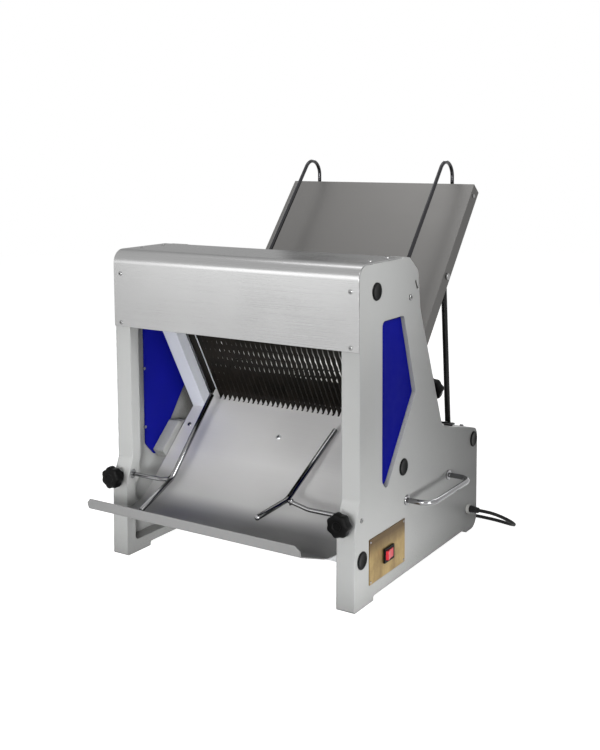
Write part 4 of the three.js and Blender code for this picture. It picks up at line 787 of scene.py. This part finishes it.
# Side handles, tray struts, tie bars and their caps.
HANDLE_LEGS, HANDLE_Z = (0.178, 0.358), 0.147
HANDLE_REACH, HANDLE_ROD, HANDLE_BEND = 0.050, 0.005, 0.026
HANDLE_START = 0.0005  # from the casting's face
ROSE_PROFILE = [(0, 0), (0.01, 0), (0.01, 0.0016), (0.0092, 0.0026), (0.0074, 0.003), (0, 0.003)]
STRUT_ROD, STRUT_FOOT_Y = 0.006, 0.470
STRUT_START, STRUT_PAST = 0.0005, 0.008  # from its plate's middle, and past its pin
STRUT_PLATE, STRUT_PLATE_EDGE = (0.011, 0.012, 0.002), 0.0007  # half sizes
STRUT_HEAD = (0.226, -0.016)  # down the infeed tray and off it
STRUT_BOLT_Y = 0.0085
STRUT_BOLT = [(0, 0), (0.0026, 0), (0.0026, 0.0008), (0.0016, 0.0014), (0, 0.0014)]
STRUT_PIN = [(0, 0), (0.004, 0), (0.004, 0.0083), (0.0068, 0.0083), (0.007, 0.0087), (0.007, 0.0105),
             (0.0058, 0.0118), (0, 0.0118)]
CAP_PROFILE = [(0, -0.003), (0.009, -0.003), (0.009, 0), (0.0158, 0), (0.016, 0.0003), (0.016, 0.0014),
               (0.0154, 0.0021), (0.0138, 0.0025), (0.0118, 0.0026), (0.0112, 0.0023), (0, 0.0021)]
TIE_POCKET = 0.012  # depth of the pocket for the tie bar's head


def side_handle(side, sign):
    near, out = sign * (HALF_WIDTH + HANDLE_START), sign * (HALF_WIDTH + HANDLE_REACH)
    front, rear = HANDLE_LEGS
    corners = [at(x, y, HANDLE_Z) for x, y in ((near, front), (out, front), (out, rear), (near, rear))]
    grip = tube(f"handle_grip_{side}", bent(corners, [HANDLE_BEND] * 2, 5), HANDLE_ROD, 32)
    finish_piece(grip, "machine", "chrome", replaced=[f"side_handle_{side}"])
    for i, y in enumerate(HANDLE_LEGS):
        place = at(sign * HALF_WIDTH, y, HANDLE_Z)
        turned(f"handle_rose_{side}_{i}", ROSE_PROFILE, place, (sign, 0, 0), 40, "chrome")


def tray_strut(side, sign):
    """A rod from a plate on the drive box's top to a pin in the infeed tray's flange."""
    x = sign * (TRAY_HALF_WIDTH - TRAY_SHEET - SEAT - STRUT_ROD)
    slope = math.atan(BOX_FALL)
    tilt = Matrix.Rotation(-slope, 3, "X")
    half = Vector(STRUT_PLATE)
    head = on_chute(x, *STRUT_HEAD)
    foot = at(x, STRUT_FOOT_Y, box_top(STRUT_FOOT_Y) + (SEAT + half.z) / math.cos(slope))
    up = (head - foot).normalized()
    ends = [foot + up * STRUT_START, head + up * STRUT_PAST]
    strut = tube(f"strut_rod_{side}", ends, STRUT_ROD, 32)
    finish_piece(strut, "machine", "black_paint", replaced=[f"tray_strut_{side}"])
    plate = chamfered(f"strut_plate_{side}", -half, half, STRUT_PLATE_EDGE)
    plate.data.transform(Matrix.Translation(foot) @ tilt.to_4x4())
    finish_piece(plate, "machine", "black_paint")
    for i, y in enumerate((-STRUT_BOLT_Y, STRUT_BOLT_Y)):
        place = foot + tilt @ Vector((0, y, half.z))
        axis = tilt @ Vector((0, 0, 1))
        turned(f"strut_bolt_{side}_{i}", STRUT_BOLT, place, axis, 6, material="bolt_steel")
    turned(f"strut_pin_{side}", STRUT_PIN, head, (sign, 0, 0), 36, material="bolt_steel")


def tie_cap(name, side, sign):
    place = at(sign * HALF_WIDTH, *TIES[name])
    turned(f"tie_cap_{name}_{side}", CAP_PROFILE, place, (sign, 0, 0), 56, "black_plastic",
           replaced=[f"cap_{name}_{side}"])


def tie_rod(name):
    """A bar between the castings, with a spigot through each and a screw head in its pocket."""
    end, head = INNER_FACE - SEAT, HALF_WIDTH - TIE_POCKET + SEAT
    half = [(0.012, end - 0.001), (0.0112, end), (0.005, end), (0.005, head), (0.009, head),
            (0.009, head + 0.006), (0.0082, head + 0.007), (0, head + 0.007)]
    profile = [(r, -h) for r, h in reversed(half)] + half
    turned(f"tie_rod_{name}", profile, at(0, *TIES[name]), (1, 0, 0), 40, "galvanised",
           replaced=[f"tie_bar_{name}"])


for side, sign in SIDES:
    side_handle(side, sign)
    tray_strut(side, sign)
    for name in TIES:
        tie_cap(name, side, sign)
for name in TIES:
    tie_rod(name)

# A black guard, bent from one sheet, that closes the gap under the infeed tray's low end: painted shade
# where the machine shows only shade.
GUARD_Y, GUARD_LOW = 0.290, 0.2515
GUARD_HALF, GUARD_SHEET = 0.2270, 0.0012
GUARD_LIP, GUARD_FLAP, GUARD_BEND = 0.012, 0.022, 0.003
GUARD_DROP = 0.0052  # from the line of the infeed tray's face to the guard's upper bend
GUARD_TOP = CHUTE_TOP[1] - (CHUTE_TOP[0] - GUARD_Y) * math.tan(CHUTE_ANGLE) - GUARD_DROP


def painted_shade_guard():
    """A lip forward, a wall, and a flap along the infeed tray's underside."""
    top = at(0, GUARD_Y, GUARD_TOP)
    corners = [at(0, GUARD_Y - GUARD_LIP, GUARD_LOW), at(0, GUARD_Y, GUARD_LOW), top,
               top + CHUTE_UP * GUARD_FLAP]
    section = bent(corners, [GUARD_BEND] * 2, 15)
    vertices = []
    for i, place in enumerate(section):
        along = (section[min(i + 1, len(section) - 1)] - section[max(i - 1, 0)]).normalized()
        off = Vector((0, along.z, -along.y)) * GUARD_SHEET / 2
        for x in (-GUARD_HALF, GUARD_HALF):
            vertices += [place + off + Vector((x, 0, 0)), place - off + Vector((x, 0, 0))]
    faces = [(0, 1, 3, 2), tuple(len(vertices) - 4 + k for k in (0, 2, 3, 1))]
    for i in range(len(section) - 1):
        a, b = 4 * i, 4 * (i + 1)
        faces += [(a + p, a + q, b + q, b + p) for p, q in ((0, 2), (2, 3), (3, 1), (1, 0))]
    guard = mesh_object("painted_shade_guard", vertices, faces)
    fix_normals(guard)
    # Painted shade: a black sheet put where there is only shade.
    finish_piece(guard, "machine", "black_paint")


painted_shade_guard()

# Small fasteners, which stay with this file. Their profiles start under the face that they lie on.
COVER_SCREW_X, COVER_SCREW_Z, COVER_TOP_SCREW_Y = 0.2585, (0.5565, 0.4605), (0.066, 0.129)
TRAY_SCREW_X, TRAY_SCREW_DOWN, TRAY_RIVET_DOWN = 0.221, 0.0732, 0.069  # down the outfeed tray
CROWN_SCREW_AT, TOE_SCREW_AT = (0.189, 0.526), (0.0085, 0.1585)
FLANGE_SCREW_AT = (0.0219, -0.0126)  # down the infeed tray and off it
PANEL_SCREW_Y, PANEL_SCREW_Z = 0.071, (0.356, 0.236)
BOX_SCREW_X, BOX_PLUG_Y, BOX_BOLT_Y = 0.2465, 0.4165, 0.4825
PLATE_FACE = HALF_WIDTH + 0.0015  # the brass plate stands off the casting by its thickness
PLATE_RIVETS = ((0.0395, 0.110), (0.1635, 0.111), (0.0395, 0.038), (0.1635, 0.038))
SOCKET_HEAD = [(0, -0.0002), (0.0056, -0.0002), (0.0056, 0.0022), (0.005, 0.0028), (0.003, 0.0028),
               (0.0028, 0.001), (0, 0.001)]
TOE_SCREW = [(0, -0.0002), (0.0042, -0.0002), (0.0042, 0.0012), (0.0036, 0.0016), (0.0022, 0.0016),
             (0.002, 0.0004), (0, 0.0004)]
FLANGE_SCREW = [(0, -0.0002), (0.0042, -0.0002), (0.0042, 0.0014), (0.003, 0.0024), (0.0012, 0.0028),
                (0, 0.0028)]
PANEL_SCREW = [(0, -0.0002), (0.003, -0.0002), (0.003, 0.0008), (0.0022, 0.0014), (0, 0.0016)]
BOX_PLUG = [(0, -0.0003), (0.0085, -0.0003), (0.009, 0.0006), (0.009, 0.002), (0.008, 0.0032),
            (0.004, 0.0038), (0, 0.004)]
BOX_BOLT = [(0, -0.0003), (0.0046, -0.0003), (0.0046, 0.0026), (0.0038, 0.0032), (0, 0.0032)]
RIVET = [(0, 0), (0.0021, 0), (0.0019, 0.0006), (0.0011, 0.001), (0, 0.0011)]


def cross_screw(name, place, axis, radius=0.0042, rise=0.0016, material="bolt_steel"):
    """A domed screw head lying on a face, with the hollow of its cross drawn as two dark bars of painted
    shade.
    """
    profile = [(0, -0.0002), (radius, -0.0002), (radius, rise * 0.25), (radius * 0.9, rise * 0.62),
               (radius * 0.66, rise * 0.9), (radius * 0.36, rise), (0, rise)]
    turned(name, profile, place, axis, 32, material=material)
    long, short = radius * 0.56, radius * 0.56 * 0.22
    for i, (x, y) in enumerate(((long, short), (short, long))):
        # Painted shade: matte black bars on the dome stand for the shade in its cross.
        bar = chamfered(f"{name}_slot_{i}", (-x, -y, rise * 0.86), (x, y, rise * 1.02), 0.00004, 1)
        bar.data.transform(frame_of(place, axis))
        finish_piece(bar, "machine", "black_plastic", "recess_shade")


def casting_fasteners(side, sign):
    """The screws, plugs and bolts on and beside one casting."""
    out, face = (sign, 0, 0), sign * HALF_WIDTH
    box_up = Vector((0, BOX_FALL, 1)).normalized()
    for i, z in enumerate(COVER_SCREW_Z):
        cross_screw(f"cover_screw_{side}_{i}", at(sign * COVER_SCREW_X, 0, z), (0, -1, 0))
    for i, y in enumerate(COVER_TOP_SCREW_Y):
        cross_screw(f"cover_top_screw_{side}_{i}", at(sign * COVER_SCREW_X, y, COVER_HEIGHT), (0, 0, 1))
    place = on_tray(sign * TRAY_SCREW_X, TRAY_SCREW_DOWN, 0)
    cross_screw(f"tray_screw_{side}", place, TRAY_UP, radius=0.0045, rise=0.0018)
    turned(f"crown_screw_{side}", SOCKET_HEAD, at(face, *CROWN_SCREW_AT), out, 32, material="bolt_steel")
    turned(f"toe_screw_{side}", TOE_SCREW, at(face, *TOE_SCREW_AT), out, 28, material="bolt_steel")
    place = on_chute(sign * TRAY_HALF_WIDTH, *FLANGE_SCREW_AT)
    turned(f"flange_screw_{side}", FLANGE_SCREW, place, out, 28, material="bolt_steel")
    for i, z in enumerate(PANEL_SCREW_Z):
        place = at(sign * PANEL_FACE, PANEL_SCREW_Y, z)
        turned(f"panel_screw_{side}_{i}", PANEL_SCREW, place, (-sign, 0, 0), 24, material="bolt_steel")
    place = at(sign * BOX_SCREW_X, BOX_PLUG_Y, box_top(BOX_PLUG_Y))
    turned(f"box_plug_{side}", BOX_PLUG, place, box_up, 32, "rubber")
    place = at(sign * BOX_SCREW_X, BOX_BOLT_Y, box_top(BOX_BOLT_Y))
    turned(f"box_bolt_{side}", BOX_BOLT, place, box_up, 6, material="bolt_steel")


for side, sign in SIDES:
    casting_fasteners(side, sign)
cross_screw("tray_rivet", on_tray(0, TRAY_RIVET_DOWN, 0), TRAY_UP, radius=0.0055, rise=0.0024,
            material="galvanised")
for i, place in enumerate(PLATE_RIVETS):
    turned(f"plate_rivet_{i}", RIVET, at(PLATE_FACE, *place), (1, 0, 0), 20, "brass", "bolt_steel")


# Floor and light.
def node(tree, kind, **values):
    made = tree.nodes.new(kind)
    for socket, value in values.items():
        made.inputs[socket.replace("_", " ")].default_value = value
    return made


def grey(level):
    return (level, level, level, 1)


def mix_seen(tree, unseen, shown, output):
    """Shows one shader to rays of the camera, of gloss and of glass, and the other to all the rest."""
    paths = tree.nodes.new("ShaderNodeLightPath")
    last = paths.outputs["Is Camera Ray"]
    for name in ("Is Glossy Ray", "Is Transmission Ray"):
        largest = tree.nodes.new("ShaderNodeMath")
        largest.operation = "MAXIMUM"
        tree.links.new(last, largest.inputs[0])
        tree.links.new(paths.outputs[name], largest.inputs[1])
        last = largest.outputs[0]
    mix = tree.nodes.new("ShaderNodeMixShader")
    tree.links.new(last, mix.inputs[0])
    tree.links.new(unseen.outputs[0], mix.inputs[1])
    tree.links.new(shown.outputs[0], mix.inputs[2])
    tree.links.new(mix.outputs[0], output.inputs[0])


def floor_material():
    """Pale and a little lit of itself where it is seen, so that it meets the background with no line and
    keeps the shadow, and mid grey to the light that it throws back at the machine."""
    material = bpy.data.materials.new("white_floor")
    material.use_nodes = True
    tree = material.node_tree
    tree.nodes.clear()
    output = tree.nodes.new("ShaderNodeOutputMaterial")
    unseen = node(tree, "ShaderNodeBsdfDiffuse", Color=grey(0.34))
    pale = node(tree, "ShaderNodeBsdfDiffuse", Color=grey(0.62))
    glow = node(tree, "ShaderNodeEmission", Color=grey(1), Strength=0.94)
    both = tree.nodes.new("ShaderNodeAddShader")
    tree.links.new(pale.outputs[0], both.inputs[0])
    tree.links.new(glow.outputs[0], both.inputs[1])
    mix_seen(tree, unseen, both, output)
    return material


FLOOR_RADIUS, FLOOR_SIDES, FLOOR_GAP = 6, 60, 0.0002
floor_mesh = bpy.data.meshes.new("floor")
rim = [(FLOOR_RADIUS * math.cos(turn), FLOOR_RADIUS * math.sin(turn), 0) for turn in circle(FLOOR_SIDES)]
floor_mesh.from_pydata(rim, [], [tuple(range(FLOOR_SIDES))])
floor = new_object("floor", floor_mesh)
floor.location.z = min(0, cad_box[0].z) - FLOOR_GAP
floor_mesh.materials.append(floor_material())

world = bpy.data.worlds.new("studio")
scene.world = world
world.use_nodes = True
tree = world.node_tree
tree.nodes.clear()
output = tree.nodes.new("ShaderNodeOutputWorld")
soft = node(tree, "ShaderNodeBackground", Color=grey(1), Strength=0.10)
plain = node(tree, "ShaderNodeBackground", Color=grey(1), Strength=1)
mix_seen(tree, soft, plain, output)


def lamp(name, place, aim, size, power, spread=180):
    data = bpy.data.lights.new(name, "AREA")
    data.shape = "RECTANGLE"
    data.size, data.size_y = size
    data.energy = power
    data.spread = math.radians(spread)
    obj = new_object(name, data)
    obj.location = place
    obj.rotation_mode = "QUATERNION"
    obj.rotation_quaternion = (Vector(aim) - Vector(place)).to_track_quat("-Z", "Y")


lamp("key", (0.1, -2.6, 1.1), (0, -0.1, 0.3), (1.6, 1.0), power=11)
lamp("left", (-1.2, -2.2, 0.8), (0, -0.2, 0.5), (1.2, 0.9), power=8)
lamp("mouth", (0.6, -1.6, 0.5), (-0.2, -0.1, 0.27), (0.3, 0.3), power=2.2, spread=50)
lamp("side", (1.0, -0.35, 0.95), (0.275, -0.18, 0.56), (0.3, 0.3), power=0.66, spread=48)
lamp("low", (1.0, -0.5, 0.12), (0.275, -0.17, 0.02), (0.3, 0.12), power=0.6, spread=50)
lamp("top", (-0.2, 0.3, 2.4), (0, -0.1, 0.5), (1.8, 0.6), power=8)
lamp("back", (-0.3, 2.2, 1.9), (-0.1, 0.1, 0.3), (1.0, 0.8), power=14)

scene.view_settings.view_transform = "Standard"
